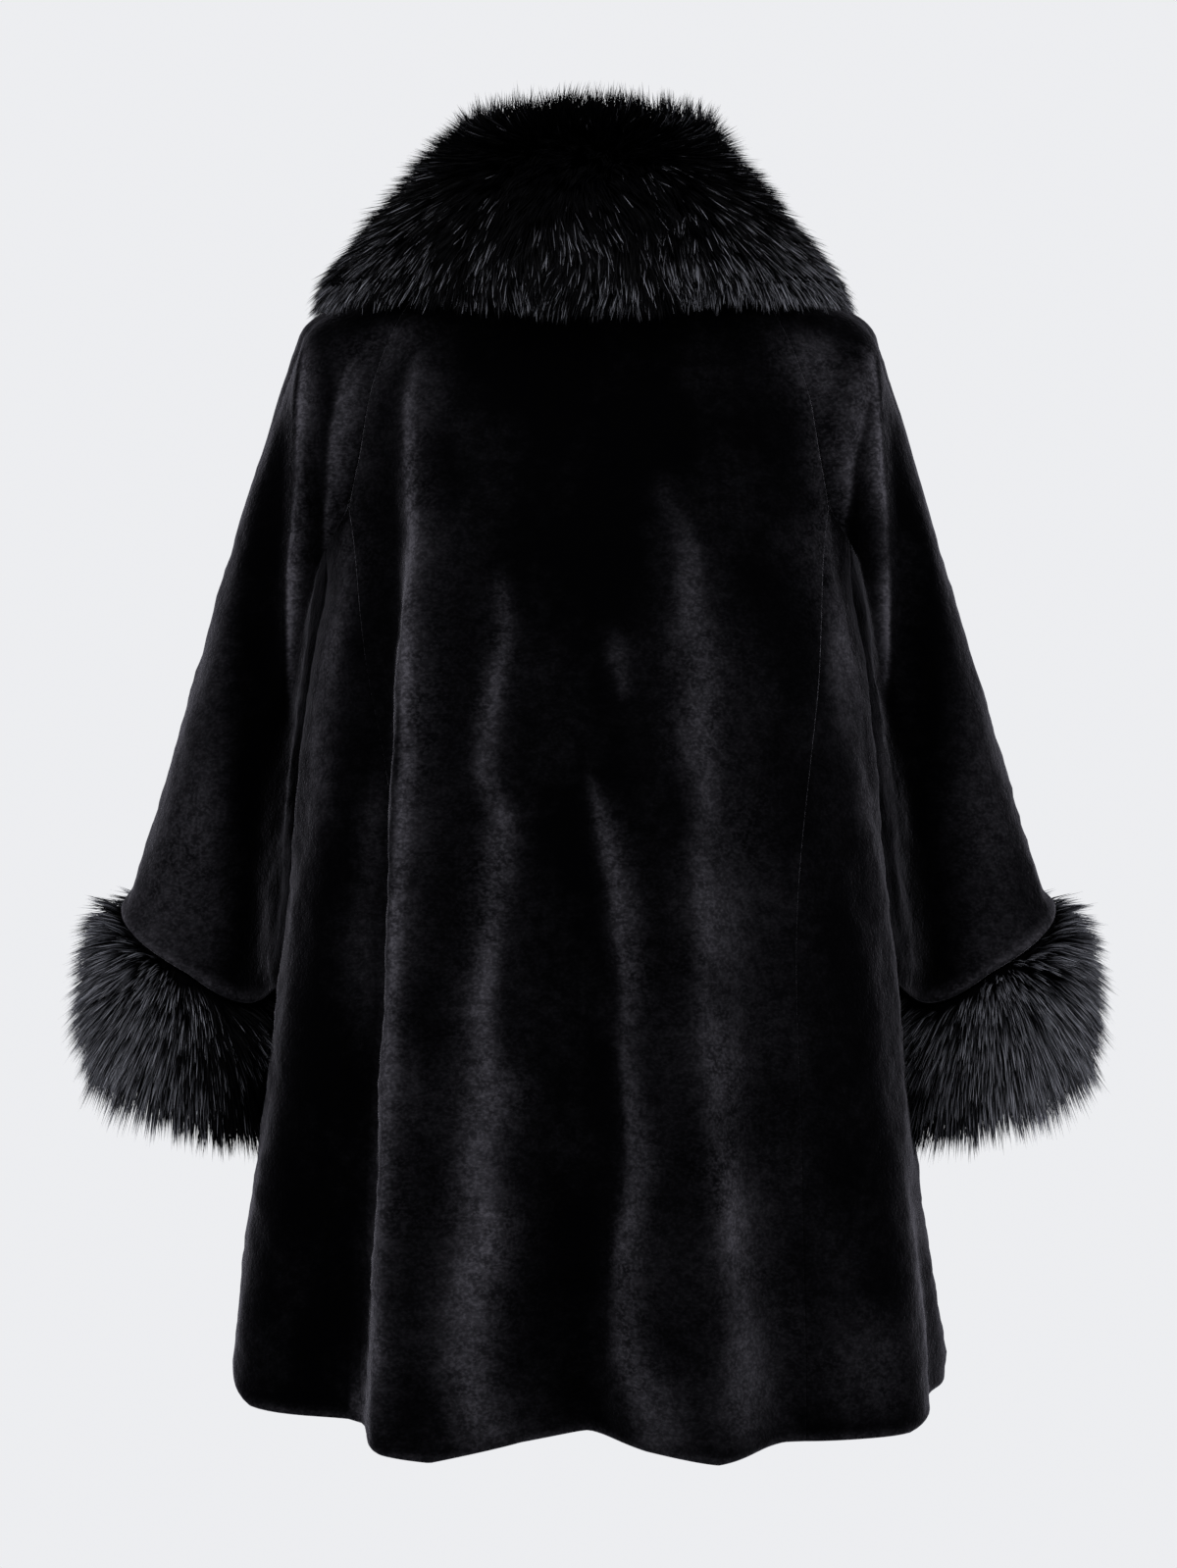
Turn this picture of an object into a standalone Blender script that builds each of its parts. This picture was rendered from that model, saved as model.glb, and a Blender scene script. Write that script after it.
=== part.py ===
"""Faux fur coat with a wide long-haired collar and deep cuffs, in its worn shape.

Metres, +Z up. The back of the coat faces +Y and the wearer's left is +X. The origin
is the middle of the neck at the height of the shoulder line. Angles round the body
are in degrees from the middle of the back, positive towards the wearer's left, so
that the front edges are at 180 and -180.
"""

import math

import bpy
import numpy as np

CLOTH = 0.007  # backing and flattened nap
SEAM_GAP = 0.0003
LEFT = 1
RIGHT = -1

NECK = 0.012  # depth of the neckline below the origin
ARMPIT = 0.209  # depth at which raglan seam, side seam and armhole meet
HEM = 0.842


def table(names, *rows):
    """Rows of numbers as a dictionary of named columns."""
    return dict(zip(names.split(), np.array(rows, float).T))


# One row a level. down is the depth below the origin. half_width, back and front are
# how far the cloth reaches from the middle. square swells the section's corners.
# front_drop lowers the front, and under_arm lowers the level below the armhole.
BODY = table(
    "down half_width back front square front_drop under_arm",
    (0.012, 0.080, 0.068, 0.062, 0.06, 0.034, 0.000),
    (0.035, 0.126, 0.088, 0.084, 0.06, 0.032, 0.000),
    (0.070, 0.174, 0.107, 0.102, 0.06, 0.026, 0.000),
    (0.120, 0.192, 0.126, 0.118, 0.06, 0.016, 0.000),
    (0.180, 0.190, 0.140, 0.130, 0.06, 0.006, 0.014),
    (0.209, 0.187, 0.145, 0.134, 0.05, 0.003, 0.027),
    (0.245, 0.187, 0.150, 0.138, 0.05, 0.001, 0.018),
    (0.285, 0.193, 0.154, 0.142, 0.04, 0.000, 0.009),
    (0.330, 0.199, 0.159, 0.147, 0.04, 0.000, 0.001),
    (0.470, 0.212, 0.171, 0.160, 0.03, 0.000, 0.000),
    (0.660, 0.232, 0.187, 0.178, 0.03, 0.000, 0.000),
    (0.810, 0.251, 0.198, 0.190, 0.03, 0.000, 0.000),
    (0.842, 0.254, 0.200, 0.192, 0.03, 0.000, 0.000),
)

# Where the raglan seams run on the body, above the armpit.
RAGLAN = table(
    "down back front",
    (0.012, 48.0, 130.0),
    (0.035, 46.5, 131.5),
    (0.070, 43.0, 134.0),
    (0.120, 46.7, 131.0),
    (0.180, 53.3, 124.0),
    (0.209, 59.0, 118.0),
)

# Where the side seam runs, and the line below the front raglan seam.
SIDE_SEAM = table(
    "down seam front",
    (0.209, 59.0, 118.0),
    (0.300, 52.0, 117.0),
    (0.383, 45.5, 116.0),
    (0.465, 40.8, 116.0),
    (0.648, 37.3, 116.0),
    (0.842, 34.3, 116.0),
)

# One row a fold: its angle where it starts and at the hem, its width on the side of the
# wearer's right and left, how far it stands out at the hem, and the depths at which it
# starts and is fully formed.
FOLDS = table(
    "top hem right left out start full",
    (36.0, 28.5, 11.0, 4.8, 0.031, 0.05, 0.50),
    (46.0, 40.0, 4.8, 9.0, -0.023, 0.05, 0.50),
    (9.0, 3.0, 8.5, 7.5, -0.022, 0.24, 0.76),
    (-1.0, -1.0, 4.0, 4.0, -0.012, 0.68, 0.84),
    (-13.0, -17.5, 9.0, 8.0, 0.026, 0.22, 0.72),
    (-31.0, -30.0, 6.0, 7.0, -0.010, 0.26, 0.80),
    (-58.0, -52.0, 12.0, 10.0, 0.010, 0.40, 0.84),
    (66.0, 60.0, 10.0, 12.0, 0.010, 0.40, 0.84),
    (-78.0, -75.0, 9.0, 8.0, -0.010, 0.60, 0.84),
    (98.0, 94.0, 10.0, 10.0, -0.012, 0.60, 0.84),
    (-104.0, -108.0, 12.0, 11.0, 0.012, 0.60, 0.84),
    (124.0, 122.0, 12.0, 12.0, 0.014, 0.55, 0.84),
    (-132.0, -134.0, 9.0, 9.0, -0.014, 0.30, 0.80),
    (146.0, 147.0, 9.0, 8.0, -0.013, 0.34, 0.80),
    (-152.0, -156.0, 9.0, 10.0, 0.014, 0.26, 0.80),
    (163.0, 166.0, 8.0, 8.0, 0.010, 0.30, 0.80),
)

# How far the hem rises above its lowest depth, round the body.
HEM_RISE = table(
    "angle rise",
    (-180.0, 0.016),
    (-110.0, 0.018),
    (-80.0, 0.016),
    (-55.0, 0.004),
    (-31.0, 0.006),
    (-18.0, 0.000),
    (-8.0, 0.006),
    (0.0, 0.014),
    (10.0, 0.010),
    (22.0, 0.000),
    (33.0, 0.008),
    (42.0, 0.015),
    (60.0, 0.019),
    (78.0, 0.037),
    (100.0, 0.036),
    (130.0, 0.024),
    (180.0, 0.016),
)
HEM_RISE_TOP = 0.45  # depth below which the rise of the hem is felt

# One row a section of the sleeve, from the armhole to the cuff seam. over and under
# are its points on top of the arm and below it. blend is how far the section has left
# the shape of the armhole.
SLEEVE = table(
    "along over_x over_z under_x under_z middle_y half_depth tilt blend",
    (0.00, 0.0800, -0.0120, 0.1860, -0.2360, 0.000, 0.100, 0.000, 0.00),
    (0.08, 0.1220, -0.0340, 0.1880, -0.2460, 0.000, 0.100, 0.000, 0.12),
    (0.16, 0.1600, -0.0530, 0.1890, -0.2560, 0.000, 0.100, 0.000, 0.28),
    (0.23, 0.1880, -0.0645, 0.1890, -0.2680, -0.001, 0.099, 0.000, 0.46),
    (0.29, 0.2020, -0.0750, 0.1890, -0.2820, -0.002, 0.098, 0.001, 0.62),
    (0.35, 0.2090, -0.0910, 0.1900, -0.2990, -0.003, 0.097, 0.002, 0.76),
    (0.42, 0.2180, -0.1180, 0.1925, -0.3200, -0.004, 0.095, 0.003, 0.88),
    (0.51, 0.2352, -0.1750, 0.1980, -0.3500, -0.006, 0.093, 0.005, 0.96),
    (0.63, 0.2560, -0.2440, 0.2050, -0.3900, -0.009, 0.091, 0.007, 1.00),
    (0.76, 0.2810, -0.3280, 0.2120, -0.4380, -0.012, 0.090, 0.010, 1.00),
    (0.89, 0.3080, -0.4160, 0.2200, -0.4960, -0.015, 0.089, 0.012, 1.00),
    (1.00, 0.3295, -0.4865, 0.2260, -0.5450, -0.018, 0.088, 0.014, 1.00),
)

# The fold that falls from the shoulder tip, behind and before the arm: at each level its
# place across, its half width towards the body and away from it, and its depth.
ARM_FOLD = table(
    "down across inner outer depth",
    (0.085, 0.206, 0.010, 0.014, 0.000),
    (0.120, 0.209, 0.011, 0.016, 0.012),
    (0.175, 0.213, 0.012, 0.020, 0.019),
    (0.230, 0.217, 0.012, 0.022, 0.020),
    (0.290, 0.219, 0.013, 0.024, 0.019),
    (0.350, 0.219, 0.013, 0.024, 0.016),
    (0.430, 0.219, 0.013, 0.024, 0.008),
    (0.500, 0.219, 0.013, 0.024, 0.000),
)

# One row a line that runs round the collar: its distance from the middle and its
# height behind, at the side and in front.
COLLAR = table(
    "back_r back_z side_r side_z front_r front_z",
    (0.066, -0.0090, 0.0765, -0.0095, 0.0590, -0.0455),
    (0.057, 0.0200, 0.0660, 0.0180, 0.0510, -0.0150),
    (0.059, 0.0500, 0.0650, 0.0480, 0.0540, 0.0120),
    (0.072, 0.0690, 0.0740, 0.0680, 0.0680, 0.0280),
    (0.098, 0.0670, 0.0960, 0.0610, 0.0930, 0.0190),
    (0.126, 0.0430, 0.1220, 0.0360, 0.1200, -0.0080),
    (0.149, 0.0050, 0.1500, 0.0060, 0.1420, -0.0430),
    (0.164, -0.0380, 0.1790, -0.0250, 0.1580, -0.0820),
    (0.166, -0.0700, 0.1910, -0.0480, 0.1640, -0.1160),
    (0.152, -0.0800, 0.1850, -0.0570, 0.1520, -0.1280),
    (0.130, -0.0600, 0.1660, -0.0500, 0.1270, -0.1080),
    (0.108, -0.0320, 0.1340, -0.0345, 0.1050, -0.0800),
    (0.086, -0.0139, 0.1030, -0.0194, 0.0810, -0.0584),
)
COLLAR_SLIP = 0.004  # how far it has slipped towards the wearer's left
COLLAR_END = 176.0  # angle at which each end of the collar stops
COLLAR_ROUND = 14.0  # angle over which the end is rounded

# One row a line that runs round the cuff: its distance down the arm from the seam, and
# how far it stands out from the sleeve.
CUFF = table(
    "along out",
    (0.0000, 0.0000),
    (0.0040, 0.0130),
    (0.0190, 0.0240),
    (0.0500, 0.0300),
    (0.0850, 0.0280),
    (0.1080, 0.0190),
    (0.1210, 0.0060),
    (0.1200, -0.0050),
    (0.0950, -0.0095),
    (0.0500, -0.0090),
    (0.0200, -0.0080),
    (0.0000, -0.0070),
)
CUFF_OUTER_START = 0.240  # beyond this distance across, the cuff's hair stands out more
CUFF_OUTER_WIDTH = 0.080
CUFF_CLEARANCE = 0.004

SLEEVE_SLIP = 0.004  # how far the upper sleeves hang towards the wearer's left
SLEEVE_TURN = 0.014  # how far the inner side turns in towards the front
SLEEVE_CLEARANCE = 0.005  # between the sleeve and the side of the body
SLEEVE_PARTED = 0.3  # place along the sleeve where it has left the body
SLEEVE_SOFTENING = 3  # how often the inner face is rounded inside sharp folds
SIDE_TOP = 0.19  # depth below which the sleeve lies beside the body
UNDER_ARM = 88.5  # angle of the lowest point of the armhole
UNDER_ARM_HALF = 29.5

# Levels and columns of the grids.
YOKE_LEVELS = (0.012, 0.022, 0.035, 0.052, 0.072, 0.095, 0.122, 0.152, 0.181, 0.209)
SKIRT_LEVELS = np.concatenate([np.linspace(ARMPIT, 0.80, 14), (0.825, HEM)])
BACK_COLUMNS = 40
UNDERARM_COLUMNS = 8
FRONT_COLUMNS = 15
NECK_COLUMNS = 2
UPPER_SECTIONS = np.linspace(0, 0.4, 11)
SLEEVE_SECTIONS = np.append(UPPER_SECTIONS, (0.47, 0.55, 0.65, 0.76, 0.87, 0.95, 1.0))
COLLAR_SECTIONS = 44


def curve(rows, name, at, key="down"):
    """A smooth curve through one column of a table, read at some values of its key."""
    keys = rows[key]
    values = rows[name]
    slopes = np.gradient(values, keys)
    at = np.clip(at, keys[0], keys[-1])
    i = np.clip(np.searchsorted(keys, at, side="right") - 1, 0, len(keys) - 2)
    step = keys[i + 1] - keys[i]
    t = (at - keys[i]) / step
    rise = values[i + 1] - values[i]
    start = slopes[i] * step
    end = slopes[i + 1] * step
    bend = 3 * rise - 2 * start - end + t * (start + end - 2 * rise)
    return values[i] + t * (start + t * bend)


def ease(x):
    """0 below 0, 1 above 1, and a smooth step between."""
    x = np.clip(x, 0, 1)
    return x * x * (3 - 2 * x)


def unit(v):
    """Vectors brought to length 1."""
    return v / np.maximum(np.linalg.norm(v, axis=-1, keepdims=True), 1e-12)


def hem_rise(angle, down):
    """How far the lower edge rises round the body, fading upwards."""
    rise = np.interp(angle, HEM_RISE["angle"], HEM_RISE["rise"])
    return rise * ease((down - HEM_RISE_TOP) / (HEM - HEM_RISE_TOP))


def fold_out(angle, down):
    """How far the folds push the cloth out."""
    total = np.zeros(np.broadcast(angle, down).shape)
    for i in range(len(FOLDS["top"])):
        fold = {name: column[i] for name, column in FOLDS.items()}
        grown = ease((down - fold["start"]) / (fold["full"] - fold["start"]))
        fallen = np.clip((down - fold["start"]) / (HEM - fold["start"]), 0, 1)
        off = angle - (fold["top"] + (fold["hem"] - fold["top"]) * fallen)
        width = np.where(off > 0, fold["left"], fold["right"])
        total = total + fold["out"] * grown * np.exp(-((off / width) ** 2))
    return total


def body_point(angle, down):
    """A point of the body's outer face."""
    angle, down = np.broadcast_arrays(np.asarray(angle, float), np.asarray(down, float))
    turn = np.radians(angle)
    across = np.sin(turn)
    behind = np.cos(turn)
    half_width = curve(BODY, "half_width", down)
    half_depth = np.where(behind > 0, curve(BODY, "back", down), curve(BODY, "front", down))
    swell = 1 + curve(BODY, "square", down) * np.sin(2 * turn) ** 2
    facing = unit(np.stack([across / half_width, behind / half_depth], axis=-1))
    out = fold_out(angle, down)
    arm = np.clip(1 - np.abs(np.abs(angle) - UNDER_ARM) / UNDER_ARM_HALF, 0, 1)
    lift = hem_rise(angle, down)
    x = half_width * across * swell + facing[..., 0] * out
    y = half_depth * behind * swell + facing[..., 1] * out
    z = lift - down - curve(BODY, "front_drop", down) * np.maximum(-behind, 0) ** 1.5
    z = z - curve(BODY, "under_arm", down) * ease(arm)
    return np.stack([x, y, z], axis=-1)


def body_normal(angle, down):
    """The outward direction of the body at a point, across its folds."""
    turn = body_point(angle + 1.2, down) - body_point(angle - 1.2, down)
    fall = body_point(angle, down + 0.002) - body_point(angle, down - 0.002)
    return unit(np.cross(turn, fall))


def side_of_body(side, y, z):
    """How far one side of the body reaches across, at a distance behind and a height."""
    down = -z
    half_depth = np.where(y > 0, curve(BODY, "back", down), curve(BODY, "front", down))
    angle = 90 - np.degrees(np.arcsin(np.clip(y / half_depth, -0.999, 0.999)))
    return np.abs(body_point(side * angle, down)[..., 0])


def armhole():
    """Angles and depths on the body of the points round the left armhole.

    They start on top of the shoulder, then run down the back, under the arm and up
    the front. The second value is the index of the point under the arm.
    """
    yoke = np.array(YOKE_LEVELS)
    back = curve(RAGLAN, "back", yoke)
    front = curve(RAGLAN, "front", yoke)
    over_back = np.linspace(90, back[0], NECK_COLUMNS + 1)[:-1]
    under = np.linspace(back[-1], front[-1], UNDERARM_COLUMNS + 1)[1:-1]
    over_front = np.linspace(front[0], 90, NECK_COLUMNS + 1)[1:-1]
    angles = np.concatenate([over_back, back, under, front[::-1], over_front])
    downs = np.concatenate([
        np.full(len(over_back), NECK),
        yoke,
        np.full(len(under), ARMPIT),
        yoke[::-1],
        np.full(len(over_front), NECK),
    ])
    lowest = len(over_back) + len(yoke) + UNDERARM_COLUMNS // 2 - 1
    return angles, downs, lowest


def round_arm(loop, lowest):
    """The angle round the arm of each point of the armhole, from its length."""
    steps = np.linalg.norm(np.roll(loop, -1, axis=0) - loop, axis=1)
    walked = np.concatenate([[0], np.cumsum(steps)])
    back = math.pi * walked[:-1] / walked[lowest]
    front = math.pi * (1 + (walked[:-1] - walked[lowest]) / (walked[-1] - walked[lowest]))
    return np.where(np.arange(len(loop)) < lowest, back, front)


def arm_section(turn, along):
    """Points round the arm of a plain section of the sleeve."""
    here = {name: curve(SLEEVE, name, along, "along") for name in SLEEVE if name != "along"}
    inner = np.maximum(-np.cos(turn), 0)
    swell = 1 + (0.05 + 0.20 * inner * np.abs(np.sin(turn))) * np.sin(2 * turn) ** 2
    up = np.cos(turn) * swell
    behind = np.sin(turn) * swell
    turned_in = SLEEVE_TURN * inner * behind * ease(along / 0.4)
    x = (here["over_x"] + here["under_x"] + (here["over_x"] - here["under_x"]) * up) / 2
    z = (here["over_z"] + here["under_z"] + (here["over_z"] - here["under_z"]) * up) / 2
    y = here["middle_y"] + here["half_depth"] * behind
    return np.stack([x + turned_in, y, z - here["tilt"] * behind], axis=-1)


def keep_clear(side, points, clearance, softness=0.006):
    """Points moved across where they would come too near the side of the body."""
    nearest = side_of_body(side, points[..., 1], points[..., 2]) + clearance
    beyond = points[..., 0] - nearest
    moved = points.copy()
    moved[..., 0] = nearest + (beyond + np.sqrt(beyond**2 + softness**2)) / 2
    return moved


def middle_across(along):
    """How far across the middle of a sleeve is, at one place along it."""
    over = curve(SLEEVE, "over_x", along, "along")
    under = curve(SLEEVE, "under_x", along, "along")
    return (over + under) / 2


def sleeve_ring(side, loop, turn, along):
    """Points round the outer face of a sleeve at one place along it, as on the left."""
    blend = curve(SLEEVE, "blend", along, "along")
    start = arm_section(turn, 0.0)
    ring = arm_section(turn, along) + (1 - blend) * (loop - start)
    down = -ring[:, 2]
    off = ring[:, 0] - curve(ARM_FOLD, "across", down)
    half_width = np.where(off < 0, curve(ARM_FOLD, "inner", down), curve(ARM_FOLD, "outer", down))
    depth = curve(ARM_FOLD, "depth", down) * np.exp(-((off / half_width) ** 2))
    ring[:, 1] -= depth * ease((along - 0.04) / 0.16) * np.clip(ring[:, 1] / 0.05, -1, 1)
    parted = ease(along / SLEEVE_PARTED)
    outer = ease((ring[:, 0] - middle_across(along)) / 0.03)
    ring[:, 0] += side * SLEEVE_SLIP * parted * (1 - along) * outer
    if along == 0:
        return ring
    clear = keep_clear(side, ring, SLEEVE_CLEARANCE * parted, 0.001 + 0.005 * parted)
    return ring + (clear - ring) * ease((down - SIDE_TOP) / 0.02)[:, None]


def sleeve_grid(side, sections):
    """Outer points and outward directions of a sleeve as on the left, a row a section."""
    angles, downs, lowest = armhole()
    mirror = (side, 1, 1)
    loop = body_point(side * angles, downs) * mirror
    turn = round_arm(loop, lowest)
    points = np.array([sleeve_ring(side, loop, turn, at) for at in sections])
    step = 0.01
    before = np.array([sleeve_ring(side, loop, turn, max(at - step, 0)) for at in sections])
    after = np.array([sleeve_ring(side, loop, turn, min(at + step, 1)) for at in sections])
    sideways = np.roll(points, -1, axis=1) - np.roll(points, 1, axis=1)
    normals = unit(np.cross(after - before, sideways))
    for _ in range(SLEEVE_SOFTENING):
        beside = np.roll(normals, 1, axis=1) + np.roll(normals, -1, axis=1)
        normals[1:-1] = unit(normals + beside / 2)[1:-1]
    body = body_normal(side * angles, downs) * mirror
    normals[0] = unit(body + normals[0])
    return points, normals


def boundary(quads):
    """Edges that only one face uses, as a dictionary from each start to its end."""
    edges = set()
    for quad in quads:
        for a, b in zip(quad, quad[1:] + quad[:1]):
            edges.add((a, b))
    return {a: b for a, b in edges if (b, a) not in edges}


def inset(points, normals, edge):
    """Moves the points on the boundary in by half the seam gap."""
    before = {b: a for a, b in edge.items()}
    moved = points.copy()
    for at, after in edge.items():
        into = []
        for a, b in ((before[at], at), (at, after)):
            into.append(unit(np.cross(normals[at], points[b] - points[a])))
        corner = (into[0] + into[1]) / (1 + max(float(into[0] @ into[1]), -0.5))
        moved[at] = points[at] + corner * SEAM_GAP / 2
    return moved


def volume(points, triangles):
    """The signed volume inside a closed mesh."""
    corners = points[np.array(triangles)]
    return np.einsum("ij,ij->i", corners[:, 0], np.cross(corners[:, 1], corners[:, 2])).sum() / 6


def add_object(name, points, triangles, colour, roughness):
    """One closed solid as an object of the coat."""
    if volume(points, triangles) < 0:
        triangles = [tuple(reversed(triangle)) for triangle in triangles]
    mesh = bpy.data.meshes.new(name)
    mesh.from_pydata(points.tolist(), [], triangles)
    mesh.validate()
    obj = bpy.data.objects.new(name, mesh)
    material = bpy.data.materials.new(name)
    material.use_nodes = True
    shader = material.node_tree.nodes["Principled BSDF"]
    shader.inputs["Base Color"].default_value = (*colour, 1)
    shader.inputs["Roughness"].default_value = roughness
    material.diffuse_color = (*colour, 1)
    mesh.materials.append(material)
    coat.objects.link(obj)


def add_wall(name, points, normals, quads, colour):
    """A cloth wall: an outer face, the same face moved in, and rims between them.

    The quads turn anticlockwise seen from outside. Two pieces that meet at a seam
    share its points and directions, so their rims stay parallel.
    """
    edge = boundary(quads)
    outer = inset(points, normals, edge)
    inner = outer - normals * CLOTH
    used = sorted({corner for quad in quads for corner in quad})
    index = {corner: i for i, corner in enumerate(used)}
    count = len(used)
    triangles = []
    for quad in quads:
        a, b, c, d = (index[corner] for corner in quad)
        triangles += [(a, b, c), (a, c, d)]
        triangles += [(a + count, c + count, b + count), (a + count, d + count, c + count)]
    slant = np.array([0.31, 0.17, 0.93])
    for start, end in edge.items():
        a, b = index[start], index[end]
        if points[start] @ slant > points[end] @ slant:
            triangles += [(b, a, b + count), (a, a + count, b + count)]
        else:
            triangles += [(b, a, a + count), (b, a + count, b + count)]
    add_object(name, np.concatenate([outer[used], inner[used]]), triangles, colour, 0.9)


def add_ring_solid(name, rows, closed, colour):
    """A solid through closed sections. It closes on itself, or ends in flat caps."""
    rows = np.asarray(rows)
    sections, around = rows.shape[:2]
    triangles = []
    for i in range(sections if closed else sections - 1):
        for j in range(around):
            a = i * around + j
            b = i * around + (j + 1) % around
            c = (i + 1) % sections * around + (j + 1) % around
            d = (i + 1) % sections * around + j
            triangles += [(a, b, c), (a, c, d)]
    points = rows.reshape(-1, 3)
    if not closed:
        points = np.concatenate([points, [rows[0].mean(axis=0)], [rows[-1].mean(axis=0)]])
        first, last = len(points) - 2, len(points) - 1
        start = (sections - 1) * around
        for j in range(around):
            after = (j + 1) % around
            triangles.append((first, after, j))
            triangles.append((last, start + j, start + after))
    add_object(name, points, triangles, colour, 0.7)


def grid_quads(rows, columns, keep=lambda i, j: True, wrapped=False):
    """The quads of a grid of points, left out where keep says no."""
    quads = []
    for i in range(rows - 1):
        for j in range(columns if wrapped else columns - 1):
            if keep(i, j):
                after = (j + 1) % columns
                upper, lower = i * columns, (i + 1) * columns
                quads.append((upper + j, lower + j, lower + after, upper + after))
    return quads


def make_back(left_seam, right_seam, colour):
    """The back panel, from seam to seam."""
    levels = np.concatenate([YOKE_LEVELS, SKIRT_LEVELS[1:]])
    yoke = len(YOKE_LEVELS)
    edge = np.concatenate([
        curve(RAGLAN, "back", levels[:yoke]),
        curve(SIDE_SEAM, "seam", levels[yoke:]),
    ])
    across = np.linspace(-1, 1, BACK_COLUMNS + 1)
    angles = edge[:, None] * across[None, :]
    downs = np.broadcast_to(levels[:, None], angles.shape)
    points = body_point(angles, downs)
    normals = body_normal(angles, downs)
    normals[:yoke, -1] = left_seam[:yoke]
    normals[:yoke, 0] = right_seam[:yoke]
    rows, columns = angles.shape
    quads = [quad[::-1] for quad in grid_quads(rows, columns)]
    add_wall("back", points.reshape(-1, 3), normals.reshape(-1, 3), quads, colour)


def make_front(name, side, seam_normals, colour):
    """A front panel, from the side seam round the side to the middle of the front."""
    levels = np.concatenate([YOKE_LEVELS, SKIRT_LEVELS[1:]])
    yoke = len(YOKE_LEVELS)
    seam = curve(SIDE_SEAM, "seam", levels)
    line = np.concatenate([
        curve(RAGLAN, "front", levels[:yoke]),
        curve(SIDE_SEAM, "front", levels[yoke:]),
    ])
    rows = []
    for start, turn in zip(seam, line):
        under = np.linspace(start, turn, UNDERARM_COLUMNS + 1)[:-1]
        chest = np.linspace(turn, 180, FRONT_COLUMNS + 1)
        rows.append(np.concatenate([under, chest]))
    angles = np.array(rows)
    downs = np.broadcast_to(levels[:, None], angles.shape)
    points = body_point(side * angles, downs)
    normals = body_normal(side * angles, downs)
    normals[yoke - 1, : UNDERARM_COLUMNS + 1] = seam_normals[yoke - 1 : yoke + UNDERARM_COLUMNS]
    for i in range(yoke - 1):
        normals[i, UNDERARM_COLUMNS] = seam_normals[2 * yoke + UNDERARM_COLUMNS - 2 - i]
    normals[:, -1] = unit(normals[:, -1] * (0, 1, 1))
    count = angles.shape[1]
    quads = grid_quads(len(levels), count, lambda i, j: i >= yoke - 1 or j >= UNDERARM_COLUMNS)
    if side == LEFT:
        quads = [quad[::-1] for quad in quads]
    add_wall(name, points.reshape(-1, 3), normals.reshape(-1, 3), quads, colour)


def collar_section(angle):
    """The points of the collar's section at an angle round the neck."""
    turn = math.radians(angle)
    side = math.sin(turn) ** 2
    end = "back" if math.cos(turn) > 0 else "front"
    r = side * COLLAR["side_r"] + (1 - side) * COLLAR[end + "_r"]
    z = side * COLLAR["side_z"] + (1 - side) * COLLAR[end + "_z"]
    slipped = COLLAR_SLIP * ease((r - 0.07) / 0.05)
    return np.stack([slipped + r * math.sin(turn), r * math.cos(turn), z], axis=-1)


def make_collar(colour):
    """The collar, from one front end round the neck to the other."""
    rounded = COLLAR_END - COLLAR_ROUND * (1 - np.cos(np.linspace(0, math.pi / 2, 5)))
    plain = np.linspace(COLLAR_END - COLLAR_ROUND, -COLLAR_END + COLLAR_ROUND, COLLAR_SECTIONS)
    angles = np.concatenate([rounded[:-1], plain, -rounded[:-1][::-1]])
    rows = []
    for angle in angles:
        loop = collar_section(angle)
        into = np.clip((COLLAR_END - abs(angle)) / COLLAR_ROUND, 0, 1)
        size = 0.35 + 0.65 * math.sqrt(max(1 - (1 - into) ** 2, 0))
        middle = loop.mean(axis=0)
        rows.append(middle + (loop - middle) * size)
    add_ring_solid("collar", rows, False, colour)


def make_sleeve(name, side, points, normals, colour):
    """A sleeve, from the armhole to the cuff seam."""
    mirror = (side, 1, 1)
    rows, columns = points.shape[:2]
    quads = grid_quads(rows, columns, wrapped=True)
    if side == RIGHT:
        quads = [quad[::-1] for quad in quads]
    flat = points.reshape(-1, 3) * mirror
    add_wall(name, flat, normals.reshape(-1, 3) * mirror, quads, colour)


def make_cuff(name, side, points, normals, colour):
    """A long-haired cuff, from the sleeve's seam down."""
    seam = points[-1]
    out = normals[-1]
    down_arm = unit(seam - points[-3])
    outer = ease((seam[:, 0] - CUFF_OUTER_START) / CUFF_OUTER_WIDTH)
    rows = []
    for i in range(len(CUFF["along"])):
        fall = unit(down_arm * (0.2 + 0.4 * outer[:, None]) + np.array([0.0, 0.0, -1.0]))
        stands = CUFF["out"][i]
        reach = stands * (0.45 + 0.55 * outer) if stands > 0 else np.full(len(seam), stands)
        along = CUFF["along"][i] * (0.85 + 0.15 * outer[:, None])
        row = seam + down_arm * SEAM_GAP * 3 + fall * along + out * reach[:, None]
        rows.append(keep_clear(side, row, CUFF_CLEARANCE) if CUFF["along"][i] > 0 else row)
    sections = np.array(rows).transpose(1, 0, 2) * (side, 1, 1)
    add_ring_solid(name, sections, True, colour)


for obj in list(bpy.data.objects):
    bpy.data.objects.remove(obj)
coat = bpy.data.collections.new("faux fur coat")
bpy.context.scene.collection.children.link(coat)

NAP = (0.012, 0.012, 0.014)
LONG_FUR = (0.018, 0.018, 0.021)

armhole_normals = {}
for end, side in (("left", LEFT), ("right", RIGHT)):
    arm_points, arm_normals = sleeve_grid(side, SLEEVE_SECTIONS)
    armhole_normals[end] = arm_normals[0][NECK_COLUMNS:] * (side, 1, 1)
    make_front(f"front_{end}", side, armhole_normals[end], NAP)
    make_sleeve(f"sleeve_{end}", side, arm_points, arm_normals, NAP)
    make_cuff(f"cuff_{end}", side, arm_points, arm_normals, LONG_FUR)
make_back(armhole_normals["left"], armhole_normals["right"], NAP)
make_collar(LONG_FUR)
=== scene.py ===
import math

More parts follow.
